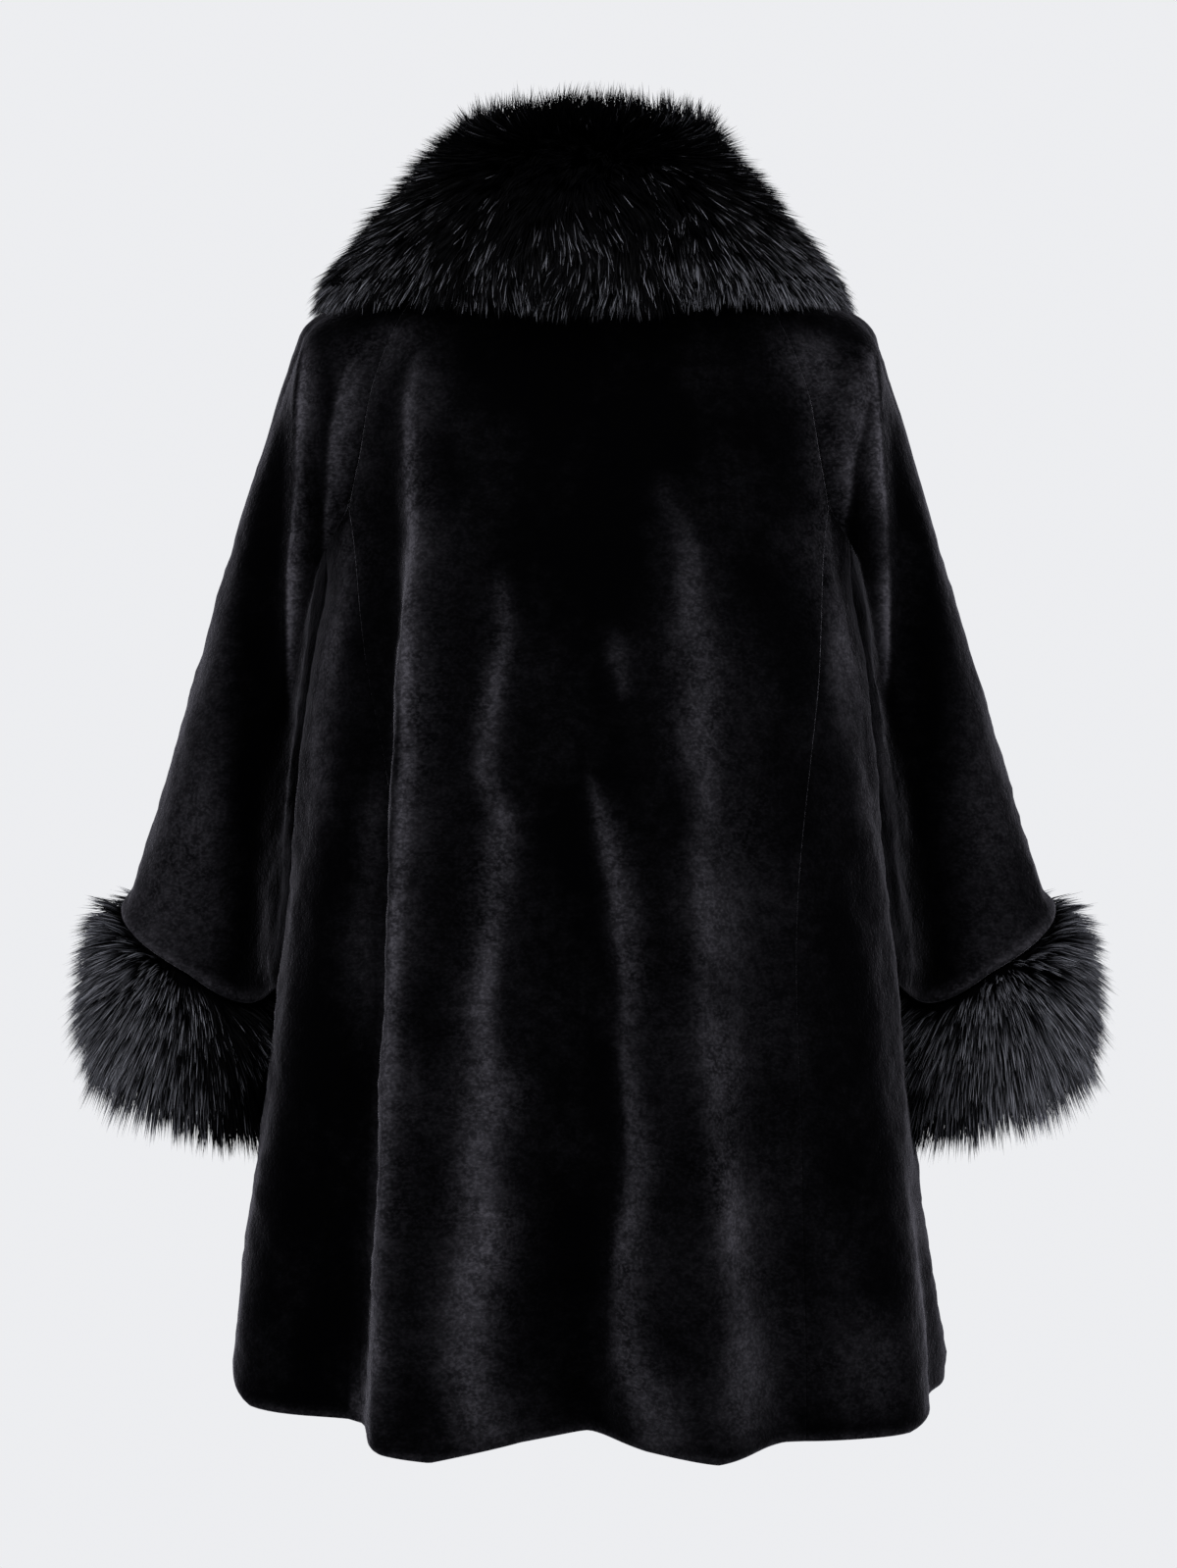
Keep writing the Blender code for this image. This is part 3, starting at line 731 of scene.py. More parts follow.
def slope_light(angle, down):
    """How much light is painted into the nap on the flanks of the large folds, away from the
    back.
    """
    step = 0.5
    metres_a_degree = 0.0035
    rise = fold_out(angle + step, down) - fold_out(angle - step, down)
    slope = rise / (metres_a_degree * 2 * step)
    side = ease((np.abs(angle) - 85) / 25)
    return 0.50 * ease((np.abs(slope) - 0.12) / 0.45) * side


def grid_quads(rows, columns, wrapped=False, closed=False):
    """The quads of a grid of points, and the row and column of each."""
    i, j = np.indices((rows - (not closed), columns - (not wrapped))).reshape(2, -1)
    below = (i + 1) % rows * columns
    after = (j + 1) % columns
    quads = [i * columns + j, below + j, below + after, i * columns + after]
    return np.stack(quads, axis=1), i, j


def spaced(start, end, down, distances):
    """Angles from start to end at one level, at some distances along the cloth."""
    angles = np.linspace(start, end, 90)
    line = body_point(angles, down)
    walked = np.concatenate([[0], np.cumsum(np.linalg.norm(np.diff(line, axis=0), axis=1))])
    return np.interp(distances * walked[-1] / distances[-1], walked, angles)


def creased(points):
    """How far the small creases of the back stand out at some points."""
    total = np.zeros(len(points))
    for crease in each_row(BACK_CREASES):
        lean = math.radians(crease["lean"])
        x = points[:, 0] - crease["across"]
        z = points[:, 2] + crease["down"]
        along = (x * math.cos(lean) + z * math.sin(lean)) / crease["long"]
        off = (z * math.cos(lean) - x * math.sin(lean)) / crease["wide"]
        total += crease["out"] * np.exp(-(along**2) - off**2)
    return total * ease((points[:, 1] - 0.02) / 0.05)


def cloth_swell(points):
    """The small uneven swells of cloth and nap."""
    broad = 0.0011 * waves(points * (1.0, 1.0, 0.75), 0.062, 11)
    small = 0.00045 * waves(points * (0.8, 0.8, 1.25), 0.024, 12)
    fine = 0.00012 * waves(points * (0.7, 0.7, 1.6), 0.010, 13)
    lower = 0.45 + 0.55 * ease((-points[:, 2] - 0.1) / 0.5)
    return (broad + small) * lower + fine + creased(points)


def body_levels():
    """Depths of the body's rows, with the number of rows down to the armpit."""
    yoke = NECK + graded(ARMPIT - NECK, LEVEL_STEP, (False, True))
    skirt = ARMPIT + graded(HEM - ARMPIT, LEVEL_STEP)
    return np.concatenate([yoke, skirt[1:]]), len(yoke)


def seam_line(levels, yoke, above, below):
    """Angles of a seam at each level: a raglan seam, and what goes on below it."""
    raglan = curve(RAGLAN, above, levels[:yoke])
    return np.append(raglan, curve(SIDE_SEAM, below, levels[yoke:]))


def make_back(material):
    """The back panel, from side seam to side seam."""
    levels, yoke = body_levels()
    edge = seam_line(levels, yoke, "back", "seam")
    across = graded(0.46, 0.0037)
    angles = np.array([spaced(-end, end, down, across) for end, down in zip(edge, levels)])
    points = body_point(angles, levels[:, None])
    normals = -grid_normals(points)
    light = side_light(points, normals).ravel()
    return cloth_wall(
        "back_cloth", points, normals, grid_quads(*angles.shape)[0],
        [points[:, 0], points[:, -1]], [points[-1], points[0]],
        material, np.maximum(light, streaks(points.reshape(-1, 3))),
    )


def make_front(name, side, material):
    """A front panel, from the side seam round the side to the middle of the front."""
    levels, yoke = body_levels()
    seam = curve(SIDE_SEAM, "seam", levels)
    line = seam_line(levels, yoke, "front", "front")
    under = graded(0.21, 0.0062)
    chest = graded(0.20, 0.0056)
    angles = np.array([
        np.concatenate([
            spaced(side * start, side * turn, down, under)[:-1],
            spaced(side * turn, side * 180, down, chest),
        ])
        for start, turn, down in zip(seam, line, levels)
    ])
    points = body_point(angles, levels[:, None])
    normals = grid_normals(points) * -side
    armpit = yoke - 1
    corner = len(under) - 1
    quads, i, j = grid_quads(*angles.shape)
    light = np.maximum(slope_light(angles, levels[:, None]), side_light(points, normals))
    return cloth_wall(
        name, points, normals, quads[(i >= armpit) | (j >= corner)],
        [points[armpit:, 0], points[armpit, : corner + 1], points[:yoke, corner]],
        [points[-1], points[:, -1], points[0, corner:]],
        material, np.maximum(light.ravel(), streaks(points.reshape(-1, 3))),
    )


def sleeve_points(side):
    """Outer points of a sleeve, a row a section, in the coat's own frame."""
    angles, downs, lowest = armhole()
    mirror = (side, 1, 1)
    loop = body_point(side * angles, downs) * mirror
    turn = round_arm(loop, lowest)
    length = 0.52
    sections = graded(length, 0.0050) / length
    return np.array([sleeve_ring(side, loop, turn, at) for at in sections]) * mirror


def ring_closed(points):
    return np.concatenate([points, points[:1]])


def make_sleeve(name, side, points, material):
    """A sleeve, its hem edge turned out a little over the fur."""
    normals = grid_normals(points, wrapped=True) * side
    from_hem = np.linalg.norm(points - points[-1], axis=2)
    lip = SLEEVE_LIP * near(from_hem, 0.012)
    place = fold_place(points * (side, 1, 1))
    deep = ease(curve(ARM_FOLD, "depth", -points[..., 2]) / 0.010)
    into = place + 1.0
    # Painted highlights: a crisp line along the crest of the fold behind the arm, and the
    # sleeve's outer side lit, more on the left sleeve.
    crest = np.where(into < 0, np.exp(into / 0.45), near(into, 0.16)) * deep
    flank = (0.23 if side == LEFT else 0.11) * ease((place - 0.8) / 1.8)
    uneven = np.clip(0.8 + 0.35 * waves(points * (1, 1, 0.6), 0.06, 24), 0.2, 1.3)
    light = np.maximum(crest, flank) * uneven * ease(np.abs(points[..., 1]) / 0.03)
    light = np.maximum(light, streaks(points))
    # Painted light along the hem.
    light = np.maximum(light, 0.42 * near(from_hem, 0.007))
    points = points + normals * lip[..., None]
    quads = grid_quads(*points.shape[:2], wrapped=True)[0]
    return cloth_wall(
        name, points, normals, quads,
        [ring_closed(points[0])], [ring_closed(points[-1])], material, light,
    )


# Materials

class Value:
    """A socket, so that shader maths reads as plain expressions."""

    def __init__(self, finish, socket):
        self.finish = finish
        self.socket = socket

    def joined(self, operation, *values):
        node = self.finish.node("Math", {"operation": operation}, *values)
        return Value(self.finish, node.outputs[0])

    def __add__(self, other):
        return self.joined("ADD", self, other)

    def __sub__(self, other):
        return self.joined("SUBTRACT", self, other)

    def __rsub__(self, other):
        return self.joined("SUBTRACT", other, self)

    def __mul__(self, other):
        return self.joined("MULTIPLY", self, other)

    __radd__ = __add__
    __rmul__ = __mul__


class Finish:
    """A material as it is made."""

    def __init__(self, name, **constants):
        self.material = bpy.data.materials.new(name)
        self.material.use_nodes = True
        self.tree = self.material.node_tree
        self.shader = self.tree.nodes["Principled BSDF"]
        self.wear(**constants)

    def feed(self, socket, value):
        if isinstance(value, Value):
            self.tree.links.new(value.socket, socket)
        else:
            socket.default_value = value

    def feed_named(self, node, named):
        for name, value in named.items():
            self.feed(node.inputs[name.replace("_", " ")], value)

    def node(self, kind, settings, *values, **named):
        """A node of one kind. Its settings come first, then what its sockets take."""
        made = self.tree.nodes.new("ShaderNode" + kind)
        for name, value in settings.items():
            if name == "stops":
                ramp = made.color_ramp
                ramp.elements.remove(ramp.elements[1])
                for i, (place, colour) in enumerate(value):
                    stop = ramp.elements[0] if i == 0 else ramp.elements.new(place)
                    stop.position = place
                    stop.color = (*colour, 1)
            else:
                setattr(made, name, value)
        for socket, value in zip(made.inputs, values):
            self.feed(socket, value)
        self.feed_named(made, named)
        return made

    def value(self, kind, settings, *values, output=0, **named):
        return Value(self, self.node(kind, settings, *values, **named).outputs[output])

    def noise(self, stretch, detail=2.0, roughness=0.5):
        """Noise over the coat, as many waves to a metre as stretch says for each axis."""
        place = self.value("TexCoord", {}, output="Object")
        place = self.value("VectorMath", {"operation": "MULTIPLY"}, place, stretch)
        named = {"Scale": 1.0, "Detail": detail, "Roughness": roughness}
        return self.value("TexNoise", {}, Vector=place, **named)

    def band(self, value, low, high):
        """0 up to low, 1 from high, and smooth between."""
        settings = {"interpolation_type": "SMOOTHSTEP"}
        return self.value("MapRange", settings, value, low, high, 0.0, 1.0)

    def mix(self, share, first, second):
        """The first colour, and the second where share is 1."""
        node = self.node("Mix", {"data_type": "RGBA"})
        self.feed(node.inputs[0], share)
        for socket, colour in zip(node.inputs[6:8], (first, second)):
            self.feed(socket, (*colour, 1) if isinstance(colour, tuple) else colour)
        return Value(self, node.outputs[2])

    def ramp(self, value, stops):
        return self.value("ValToRGB", {"stops": stops}, value)

    def bump(self, height, strength, distance, normal=None):
        named = {"Height": height, "Strength": strength, "Distance": distance}
        if normal is not None:
            named["Normal"] = normal
        return self.value("Bump", {}, **named)

    def wear(self, **named):
        self.feed_named(self.shader, named)
        return self.material


def short_nap():
    """Dense short pile, its colour painted pale with sheen where it turns away and along the lit
    streaks.
    """
    nap = Finish(
        "short_nap_cloth",
        Specular_IOR_Level=0.0,
        Sheen_Weight=1.0,
        Sheen_Roughness=0.26,
        Sheen_Tint=(0.112, 0.109, 0.126, 1),
    )
    light = nap.value("Attribute", {"attribute_name": "painted_sheen"}, output="Fac")
    patches = nap.noise((17, 17, 12), 1.5)
    tufts = nap.noise((100, 100, 130), 2.0, 0.6)
    lay = nap.noise((360, 360, 480), 1.0, 0.6)
    stroked = nap.band(lay, 0.40, 0.72) * 0.75 + nap.band(tufts, 0.30, 0.75) * 0.60
    uneven = stroked + (patches - 0.5) * 1.2
    faint = nap.band(patches + (tufts - 0.5) * 0.3, 0.44, 0.82) * 0.035
    # The share of the pale colour: painted sheen from the attribute, broken up by the nap's lay,
    # with faint random mottling.
    painted_sheen_and_mottle = light * (0.36 + uneven * 1.05) + faint * (0.3 + stroked)
    # The dark pile, and the pale colour of its painted sheen.
    colour = nap.mix(painted_sheen_and_mottle, (0.0003, 0.0003, 0.0004), (0.0300, 0.0288, 0.0342))
    ridged = nap.bump(tufts, 0.40, 0.0020)
    ridged = nap.bump(lay, 0.55, 0.0009, ridged)
    return nap.wear(Base_Color=colour, Roughness=0.98 - patches * 0.10, Normal=ridged)


def pelt():
    """The dark knitted ground that the long hair grows from."""
    ground = Finish("fur_ground", Specular_IOR_Level=0.0, Sheen_Weight=0.0)
    mottle = ground.noise((300, 300, 300), 3.0)
    colour = ground.mix(mottle, (0.0004, 0.0004, 0.0005), (0.0016, 0.0016, 0.0019))
    return ground.wear(Base_Color=colour, Roughness=0.95, Normal=ground.bump(mottle, 0.6, 0.001))


def long_hair(name, root, middle, dark_tip, pale, tip, specular):
    """Long hair, dark at the root, of which some hairs have pale tips."""
    hair = Finish(name, Specular_IOR_Level=specular)
    lock = hair.node("SeparateXYZ", {}, hair.value("UVMap", {"uv_map": "OFBake"}))
    column = Value(hair, lock.outputs[0])
    along = Value(hair, lock.outputs[1])
    number = hair.value("Math", {"operation": "FLOOR"}, column * HAIR_COLUMNS)
    chance = hair.value("TexWhiteNoise", {"noise_dimensions": "1D"}, W=number)
    plain = hair.ramp(along, ((0.0, root), (0.45, middle), (1.0, dark_tip)))
    silver = hair.ramp(along, ((0.0, root), (0.30, middle), (0.62, pale), (1.0, tip)))
    chosen = hair.band(number, HAIR_COLUMNS / 2 - 1, HAIR_COLUMNS) * (0.6 + chance * 0.4)
    colour = hair.mix(chosen, plain, silver)
    return hair.wear(Base_Color=colour, Roughness=0.62 - along * 0.16 + chance * 0.08)


# Long hair

def blades(start, way, reach, fall, sag):
    """Three points down each hair, which leaves its root one way and then falls."""
    middle = start + unit(way + fall * sag * 0.3) * (reach * 0.52)[:, None]
    return [start, middle, middle + unit(way + fall * sag * 1.8) * (reach * 0.48)[:, None]]


def hair_lines(locks, of, random):
    """The points of each hair, gathered towards the middle line of its lock."""
    root, normal, comb, fall = (locks[name] for name in ("root", "normal", "comb", "fall"))
    count = len(root)
    total = len(of)
    side = unit(np.cross(normal, comb))
    lift = np.radians(locks["lift"] + random.normal(0, 5.0, count))[:, None]
    swing = random.normal(0, locks["stray"], count)[:, None]
    lean = unit(normal * np.sin(lift) + comb * np.cos(lift) + side * swing)
    length = locks["length"] * random.uniform(0.84, 1.12, count)
    bend = locks["bend"][:, None]
    spine = blades(root, lean, length, fall, bend)
    off = random.normal(0, 1, (total, 2))
    off /= np.maximum(np.linalg.norm(off, axis=1, keepdims=True), 1e-6)
    off *= np.sqrt(random.uniform(0, 1, (total, 1)))
    start = root[of] + (side[of] * off[:, :1] + comb[of] * off[:, 1:]) * locks["radius"]
    start = start - normal[of] * 0.0015
    own = unit(
        lean[of]
        + side[of] * (off[:, :1] * 0.10 + random.normal(0, 0.05, (total, 1)))
        + normal[of] * random.normal(0, 0.06, (total, 1))
    )
    reach = length[of] * random.uniform(0.66, 1.08, total)
    points = blades(start, own, reach, fall[of], bend[of])
    for k, share in ((1, 0.35), (2, 0.75)):
        points[k] = points[k] + (spine[k][of] - points[k]) * locks["gather"] * share
    return points


def hair_piece(name, locks, material, seed):
    """Joined blades of hair in pointed locks.

    locks holds, for each lock, its root, the surface's normal, the way it is combed,
    what it falls towards, its lift in degrees, its length and how far it bends, and for
    all of them their radius, how close they gather and the number of hairs.
    """
    random = np.random.default_rng(seed)
    of = np.repeat(np.arange(len(locks["root"])), locks["hairs"])
    total = len(of)
    start, middle, tip = hair_lines(locks, of, random)
    facing = unit(locks["normal"][of] + random.normal(0, 0.55, (total, 3)))
    wide = unit(np.cross(tip - start, facing))
    half = wide * (HAIR_WIDTH * random.uniform(0.7, 1.25, total)[:, None]) / 2
    rows = [start - half, start + half, middle - half, middle + half, tip]
    points = np.stack(rows, axis=1).reshape(-1, 3)
    corners = np.arange(total)[:, None] * 5 + np.array([0, 1, 3, 2, 2, 3, 4])
    piece = add_mesh(name, points, corners, [4, 3], material)
    dark = HAIR_COLUMNS // 2
    is_pale = random.uniform(size=total) < locks["pale"][of]
    column = (random.integers(0, dark, total) + dark * is_pale)[:, None]
    across = (column + np.array([0.2, 0.8, 0.8, 0.2, 0.2, 0.8, 0.5])) / HAIR_COLUMNS
    along = np.array([0.01, 0.01, 0.52, 0.52, 0.52, 0.52, 0.99])
    uv = np.stack([across, np.broadcast_to(along, (total, 7))], axis=2)
    layer = piece.data.uv_layers.new(name="OFBake")
    layer.uv.foreach_set("vector", uv.astype(np.float32).ravel())
    return piece


def through(rows, name, place):
    """A smooth closed curve through one column of a table, by row number."""
    values = rows[name]
    count = len(values)
    i = np.floor(place).astype(int)
    t = place - i
    a, b, c, d = (values[(i + k) % count] for k in (-1, 0, 1, 2))
    bend = 2 * a - 5 * b + 4 * c - d + t * (3 * (b - c) + d - a)
    return b + 0.5 * t * (c - a + t * bend)


def collar_section(angle, place):
    """A point on a line round the collar, before its ends are rounded."""
    turn = np.radians(angle)
    side = np.sin(turn) ** 2
    behind = np.cos(turn) > 0

    def reach(axis):
        back, front, beside = (through(COLLAR, f"{part}_{axis}", place) for part in COLLAR_PARTS)
        return side * beside + (1 - side) * np.where(behind, back, front)

    r = reach("r")
    slipped = COLLAR_SLIP * ease((r - 0.07) / 0.05)
    return np.stack([slipped + r * np.sin(turn), r * np.cos(turn), reach("z")], axis=-1)


def collar_reach(angle, place):
    """A point where the collar's fur reaches to."""
    angle, place = np.broadcast_arrays(np.asarray(angle, float), np.asarray(place, float))
    point = collar_section(angle, place)
    lines = len(COLLAR["depth"])
    middle = sum(collar_section(angle, np.full(angle.shape, float(k))) for k in range(lines))
    middle = middle / lines
    into = np.clip((COLLAR_END - np.abs(angle)) / COLLAR_ROUND, 0, 1)
    size = 0.12 + 0.88 * np.sqrt(np.maximum(1 - (1 - into) ** 2, 0))
    return middle + (point - middle) * size[..., None]


def collar_frame(angle, place):
    """Points of the collar's pelt, with its outward and downward-combed directions."""
    step = 0.04
    turn = 0.6
    point = collar_reach(angle, place)
    comb = unit(collar_reach(angle, place + step) - collar_reach(angle, place - step))
    sweep = collar_reach(angle + turn, place) - collar_reach(angle - turn, place)
    normal = unit(np.cross(sweep, comb))
    depth = through(COLLAR, "depth", place)
    into = np.clip((COLLAR_END - np.abs(angle)) / COLLAR_ROUND, 0.15, 1)
    return point - normal * (depth * into)[..., None], normal, comb


COLLAR_LIFT = table(
    "length | place lift",
    (18, 0.6, 12),
    (24, 1.6, 16),
    (28, 2.4, 34),
    (33, 3.2, 50),
    (36, 4, 54),
    (36, 5, 46),
    (36, 6, 36),
    (33, 7, 30),
    (25, 8, 32),
    (17, 9, 34),
    (12, 9.6, 20),
)


def swirled(root, normal, comb, size, share, seed):
    """The way the hair is combed, turned a little to and fro over the surface."""
    swirl = waves(root, size, seed)[:, None] * share
    return unit(comb + np.cross(normal, comb) * swirl)


def collar_locks(start, end, count, hairs, size, seed):
    """Locks of hair over the collar between two angles."""
    random = np.random.default_rng(seed)
    places = random.uniform(0.6, 9.5, count * 3)
    angle = random.uniform(start, end, count * 3)
    reach = np.hypot(*np.moveaxis(collar_reach(angle, places)[..., :2], -1, 0))
    step = collar_reach(angle, places + 0.5) - collar_reach(angle, places - 0.5)
    chance = reach * np.linalg.norm(step, axis=-1)
    kept = np.argsort(random.uniform(size=len(places)) / chance)[:count]
    angle, places = angle[kept], places[kept]
    root, normal, comb = collar_frame(angle, places)
    hair = read(COLLAR_LIFT, places, "place")
    comb = swirled(root, normal, comb, 0.060, 0.24, seed + 1)
    fall = unit(comb * 0.5 + DOWN * 0.7)
    low = ease((places - 4.5) / 2.5)
    turn = np.abs(angle)
    aside = ease((turn - 30) / 45)
    lifted = ease((turn - 12) / 16) * ease((84 - turn) / 14)
    under = ease((places - 8.3) / 0.6)
    shorter = lifted * (0.12 * ease((places - 6.0) / 1.5) + 0.72 * under)
    tipped = ease((places - 5.4) / 2.2)
    right = ease(-angle / 60) * (0.25 + 0.75 * tipped)
    paler = 0.19 * tipped + 0.28 * aside * (0.35 + 0.65 * tipped) + 0.28 * right
    mottled = (0.03 + 0.11 * tipped) * waves(root, 0.04, seed + 3)
    return {
        "pale": np.clip(paler + mottled, 0, 0.9),
        "root": root,
        "normal": normal,
        "comb": comb,
        "fall": fall,
        "lift": hair["lift"] + 6 * waves(root, 0.05, seed + 2),
        "length": hair["length"] * (1 - shorter) * size,
        "radius": 0.0036,
        "gather": 0.55,
        "bend": 0.10 + 0.22 * low,
        "stray": 0.17,
        "hairs": hairs,
    }


def make_collar(material):
    """The collar's pelt: a wall from the neck seam over the roll to the turned edge."""
    near_end = np.array([0, 0.3, 1.0, 2.2, 4.0, 6.5, 9.5])
    angles = np.concatenate([
        -COLLAR_END + near_end,
        np.linspace(-162, 162, 100),
        COLLAR_END - near_end[::-1],
    ])
    places = np.linspace(0.12, 10.6, 56)
    points, normals, _ = collar_frame(angles[:, None], places[None, :])
    quads = grid_quads(*points.shape[:2])[0]
    outer = points.reshape(-1, 3)
    inner = outer - normals.reshape(-1, 3) * PELT
    return wall("collar_pelt", outer, inner, quads, material)


def cuff_ring(points, side):
    """The seam ring of a cuff, as on the left, with what the cuff is built on."""
    ring = points * (side, 1, 1)
    normals = grid_normals(ring, wrapped=True)
    seam = ring[-1]
    return {
        "seam": seam,
        "out": normals[-3],
        "down_arm": unit(seam - ring[-8]),
        "outer": ease((seam[:, :1] - 0.24) / 0.08),
    }


def cuff_point(side, ring, around, along, stands):
    """Points of a cuff, as on the left, by place round the arm, drop and stand."""
    count = len(ring["seam"])
    i = np.floor(around).astype(int) % count
    t = (around - np.floor(around))[..., None]
    after = (i + 1) % count
    seam, out, down_arm, outer = (
        ring[name][i] * (1 - t) + ring[name][after] * t
        for name in ("seam", "out", "down_arm", "outer")
    )
    fall = unit(down_arm * (0.2 + 0.4 * outer) + DOWN)
    along = np.broadcast_to(along, around.shape)[..., None]
    stands = np.broadcast_to(stands, around.shape)[..., None]
    reach = np.where(stands > 0, stands * (0.45 + 0.55 * outer), stands)
    drop = fall * along * (0.85 + 0.15 * outer)
    row = seam + down_arm * CUFF_START + drop + unit(out) * reach
    clear = keep_clear(side, row, CUFF_CLEARANCE)
    return row + (clear - row) * ease(along / 0.01)


CUFF_PELT = table(
    "along out",
    (0.8, -1),
    (6, 3),
    (20, 7),
    (45, 9),
    (70, 8.5),
    (86, 5),
    (93, -1),
    (88, -7),
    (70, -9.5),
    (45, -9),
    (20, -8),
    (0.8, -7),
)


def make_cuff(name, side, ring, material):
    """A cuff's pelt, a band turned in at its lower edge."""
    lines = np.linspace(0, len(CUFF_PELT["along"]), 49)[:-1]
    along = np.maximum(through(CUFF_PELT, "along", lines), 0.0008)
    stands = through(CUFF_PELT, "out", lines)
    around = np.arange(len(ring["seam"]), dtype=float)
    rows = [cuff_point(side, ring, around, a, s) for a, s in zip(along, stands)]
    points = np.array(rows) * (side, 1, 1)
    quads = grid_quads(*points.shape[:2], wrapped=True, closed=True)[0]
    points = points.reshape(-1, 3)
    return add_mesh(name, points, turned_out(points, quads), [4], material)


CUFF_LIFT = table(
    "along length | lift",
    (0, 30, 78),
    (10, 33, 70),
    (25, 36, 58),
    (50, 40, 46),
    (75, 42, 36),
    (92, 42, 28),
)


def cuff_locks(side, ring, count, hairs, size, seed):
    """Locks of hair over a cuff."""
    random = np.random.default_rng(seed)
    around = random.uniform(0, len(ring["seam"]), count)
    along = 0.003 + 0.089 * random.uniform(0, 1, count) ** 0.92

    def pelt_at(around, along):
        stands = np.interp(along, CUFF_PELT["along"][:6], CUFF_PELT["out"][:6])
        return cuff_point(side, ring, around, along, stands)

    root = pelt_at(around, along)
    comb = unit(pelt_at(around, along + 0.004) - pelt_at(around, along - 0.002))
    sweep = pelt_at(around + 0.3, along) - pelt_at(around - 0.3, along)
    normal = unit(np.cross(comb, sweep))
    outwards = ring["out"][np.floor(around).astype(int) % len(ring["seam"])]
    normal = normal * np.sign(np.sum(normal * outwards, axis=1, keepdims=True))
    mirror = np.array([side, 1, 1])
    root, normal, comb = root * mirror, normal * mirror, comb * mirror
    hair = read(CUFF_LIFT, along, "along")
    outer = np.interp(around, np.arange(len(ring["seam"])), ring["outer"][:, 0])
    comb = swirled(root, normal, comb, 0.07, 0.09, seed + 1)
    least = 0.07 if side == LEFT else 0.50
    return {
        "pale": np.clip(least + (1 - least) * outer + 0.10 * waves(root, 0.04, seed + 3), 0, 1),
        "root": root,
        "normal": normal,
        "comb": comb,
        "fall": unit(comb * 0.6 + DOWN * 0.6),
        "lift": hair["lift"] * (0.55 + 0.45 * outer) + 6 * waves(root, 0.05, seed + 2),
        "length": hair["length"] * size * (0.84 + 0.16 * outer),
        "radius": 0.0032,
        "gather": 0.40,
        "bend": 0.14 + 0.10 * ease(along / 0.08),
        "stray": 0.06,
        "hairs": hairs,
    }


# The coat

nap = short_nap()
ground = pelt()
guard = long_hair(
    "long_fur_hair", (0.0002, 0.0002, 0.0003), (0.0008, 0.0008, 0.0010),
    (0.0011, 0.0011, 0.0014), (0.078, 0.080, 0.094), (0.230, 0.235, 0.270), 0.015,
)
down_hair = long_hair(
    "long_fur_down", (0.0002, 0.0002, 0.0003), (0.0006, 0.0006, 0.0008),
    (0.0009, 0.0009, 0.0012), (0.034, 0.035, 0.041), (0.085, 0.087, 0.100), 0.0,
)


def fit(piece, node=None):
    """Puts a piece on the coat's body and in place of its node."""
    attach(piece, "root")
    if node:
        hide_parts(node)
    return piece


def fit_fur(part, place, guards, downy, seed):
    """The long hair of one place and the short hair under it, on the coat."""
    hair = hair_piece(f"{part}_hair_{place}", guards, guard, seed)
    down = hair_piece(f"{part}_down_{place}", downy, down_hair, seed + 30)
    return [fit(hair), fit(down)]


def area_of(piece):
    """The area of a piece's faces."""
    areas = np.zeros(len(piece.data.polygons))
    piece.data.polygons.foreach_get("area", areas)
    return areas.sum()


cloth = {"back": fit(make_back(nap), "back")}
rings = {}
for end, side in SIDES.items():
    front = make_front(f"front_{end}_cloth", side, nap)
    cloth[f"front_{end}"] = fit(front, f"front_{end}")
    arm = sleeve_points(side)
    rings[end] = cuff_ring(arm, side)
    sleeve = make_sleeve(f"sleeve_{end}_cloth", side, arm, nap)
    cloth[f"sleeve_{end}"] = fit(sleeve, f"sleeve_{end}")

collar = fit(make_collar(ground), "collar")
thirds = (("right", -174, -62), ("back", -62, 62), ("left", 62, 174))
collar_fur = []
for i, (name, start, end) in enumerate(thirds):
    guards = collar_locks(start, end, 4200, 7, 1.0, 100 + i * 10)
    downy = collar_locks(start, end, 1300, 7, 0.62, 200 + i * 10)
    collar_fur += fit_fur("collar", name, guards, downy, 300 + i)

for i, (end, side) in enumerate(SIDES.items()):
    band = make_cuff(f"cuff_{end}_pelt", side, rings[end], ground)
    cuff = fit(band, f"cuff_{end}")
    guards = cuff_locks(side, rings[end], 4600, 6, 1.0, 400 + i * 10)
    downy = cuff_locks(side, rings[end], 1300, 6, 0.6, 500 + i * 10)
    fit_fur("cuff", end, guards, downy, 600 + i)

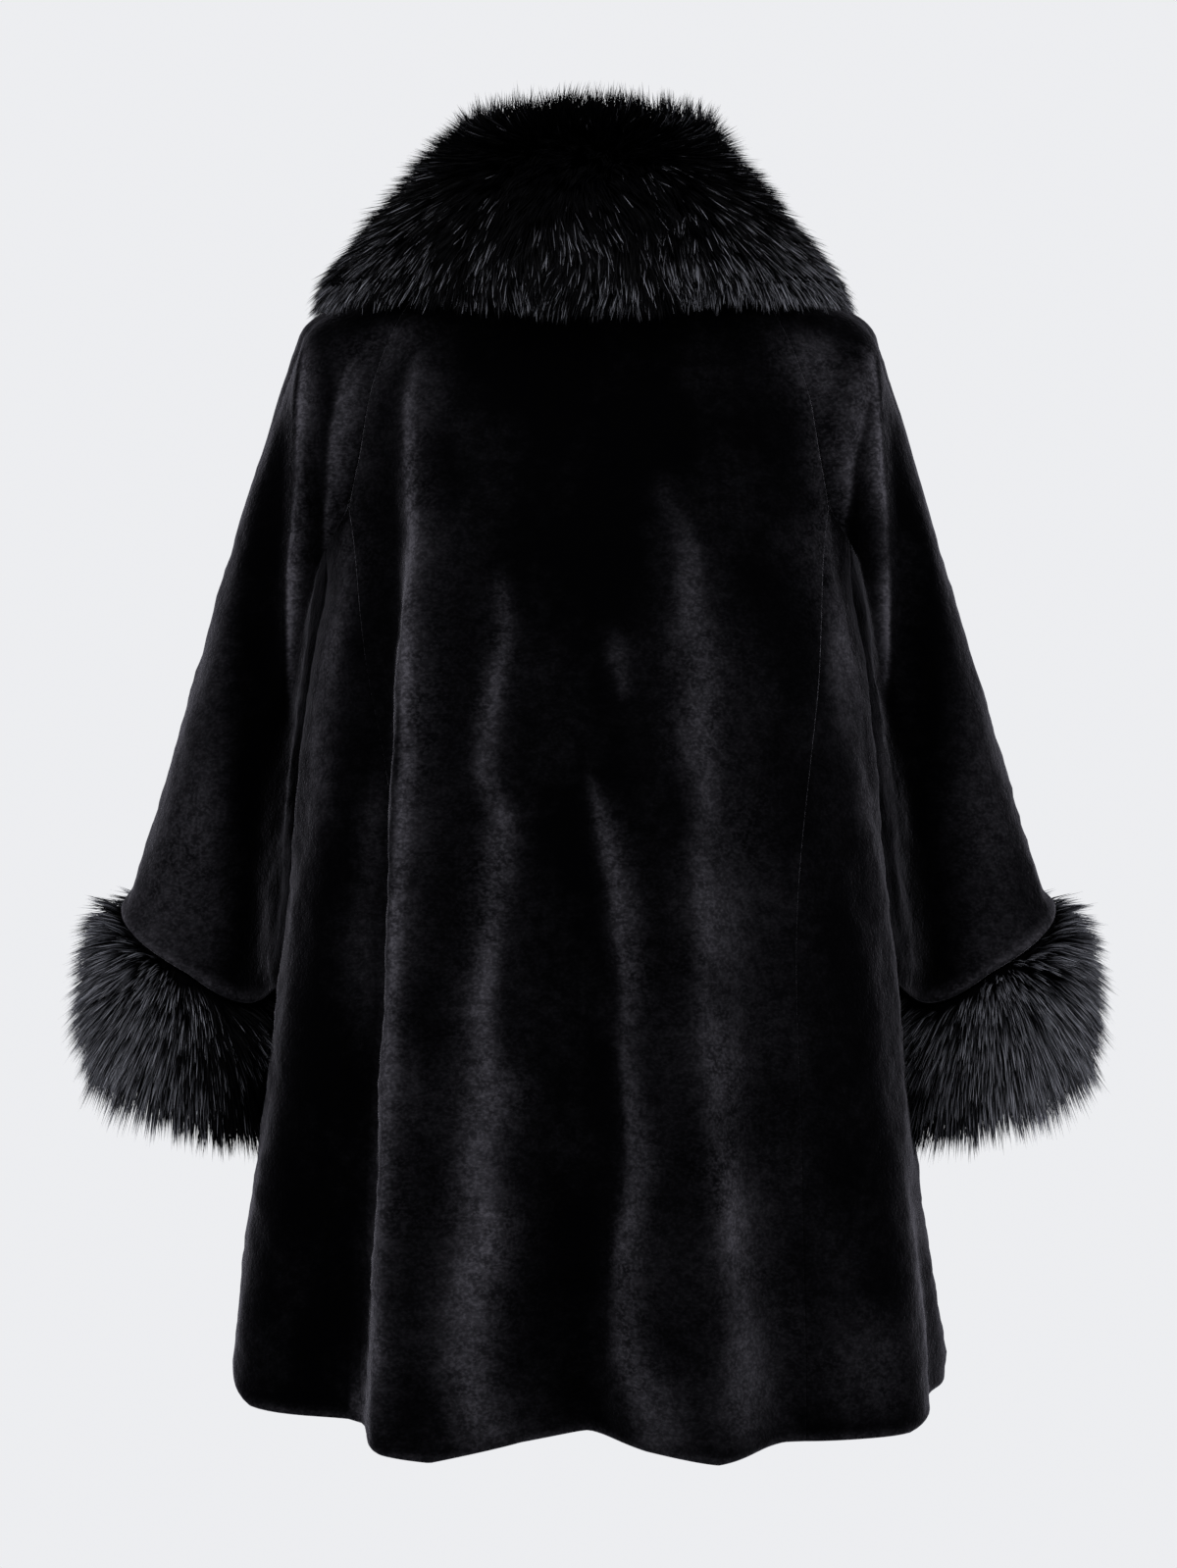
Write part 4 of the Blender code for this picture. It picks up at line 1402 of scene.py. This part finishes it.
# The area of one face of each piece of cloth, taken a little small.
for name in sorted(cloth):
    one_face = area_of(cloth[name]) / 2 * 0.99


# Studio

def studio():
    """A pale floor, pale surroundings, soft lamps and the camera."""
    floor_z = -1.42
    floor_radius = 1.75
    turns = np.linspace(0, 2 * math.pi, 97)[:-1]
    x, y = floor_radius * np.cos(turns), floor_radius * np.sin(turns)
    rim = np.stack([x, y, np.full(96, floor_z)], axis=1)
    paper = Finish("studio_paper", Specular_IOR_Level=0.1)
    grain = paper.noise((40, 40, 40), 2.0)
    colour = paper.mix(grain, (0.52, 0.525, 0.54), (0.54, 0.545, 0.56))
    paper.wear(Base_Color=colour, Roughness=0.9)
    floor = add_mesh("studio_floor", rim, np.arange(96), [96], paper.material)

    world = bpy.data.worlds.new("studio")
    bpy.context.scene.world = world
    world.use_nodes = True
    sky = world.node_tree.nodes["Background"]
    sky.inputs["Color"].default_value = (0.845, 0.852, 0.875, 1)
    sky.inputs["Strength"].default_value = 1.0

    def lamp(name, place, size, power, aim=(0, 0, -0.40)):
        light = bpy.data.lights.new(name, "AREA")
        light.shape = "RECTANGLE"
        light.size, light.size_y = size
        light.energy = power
        piece = put(name, light)
        piece.location = place
        towards = Vector(aim) - Vector(place)
        piece.rotation_euler = towards.to_track_quat("-Z", "Y").to_euler()

    lamp("soft_left", (2.6, 1.2, 0.5), (1.2, 2.2), 90)
    lamp("soft_right", (-2.6, 1.2, 0.5), (1.2, 2.2), 90)
    lamp("soft_top", (0.0, 1.2, 2.2), (1.6, 1.2), 60)

    distance = 2.4
    film = 36
    seen = 1599 * 0.0007  # the photo's rows, each 0.7 mm of the coat
    camera = bpy.data.cameras.new("camera")
    camera.sensor_fit = "VERTICAL"
    camera.sensor_height = film
    camera.lens = film * distance / seen
    eye = put("camera", camera)
    eye.location = (0, distance, -0.399)
    eye.rotation_euler = (math.radians(90), 0, math.radians(180))
    bpy.context.scene.camera = eye
    bpy.context.scene.view_settings.view_transform = "Standard"


studio()
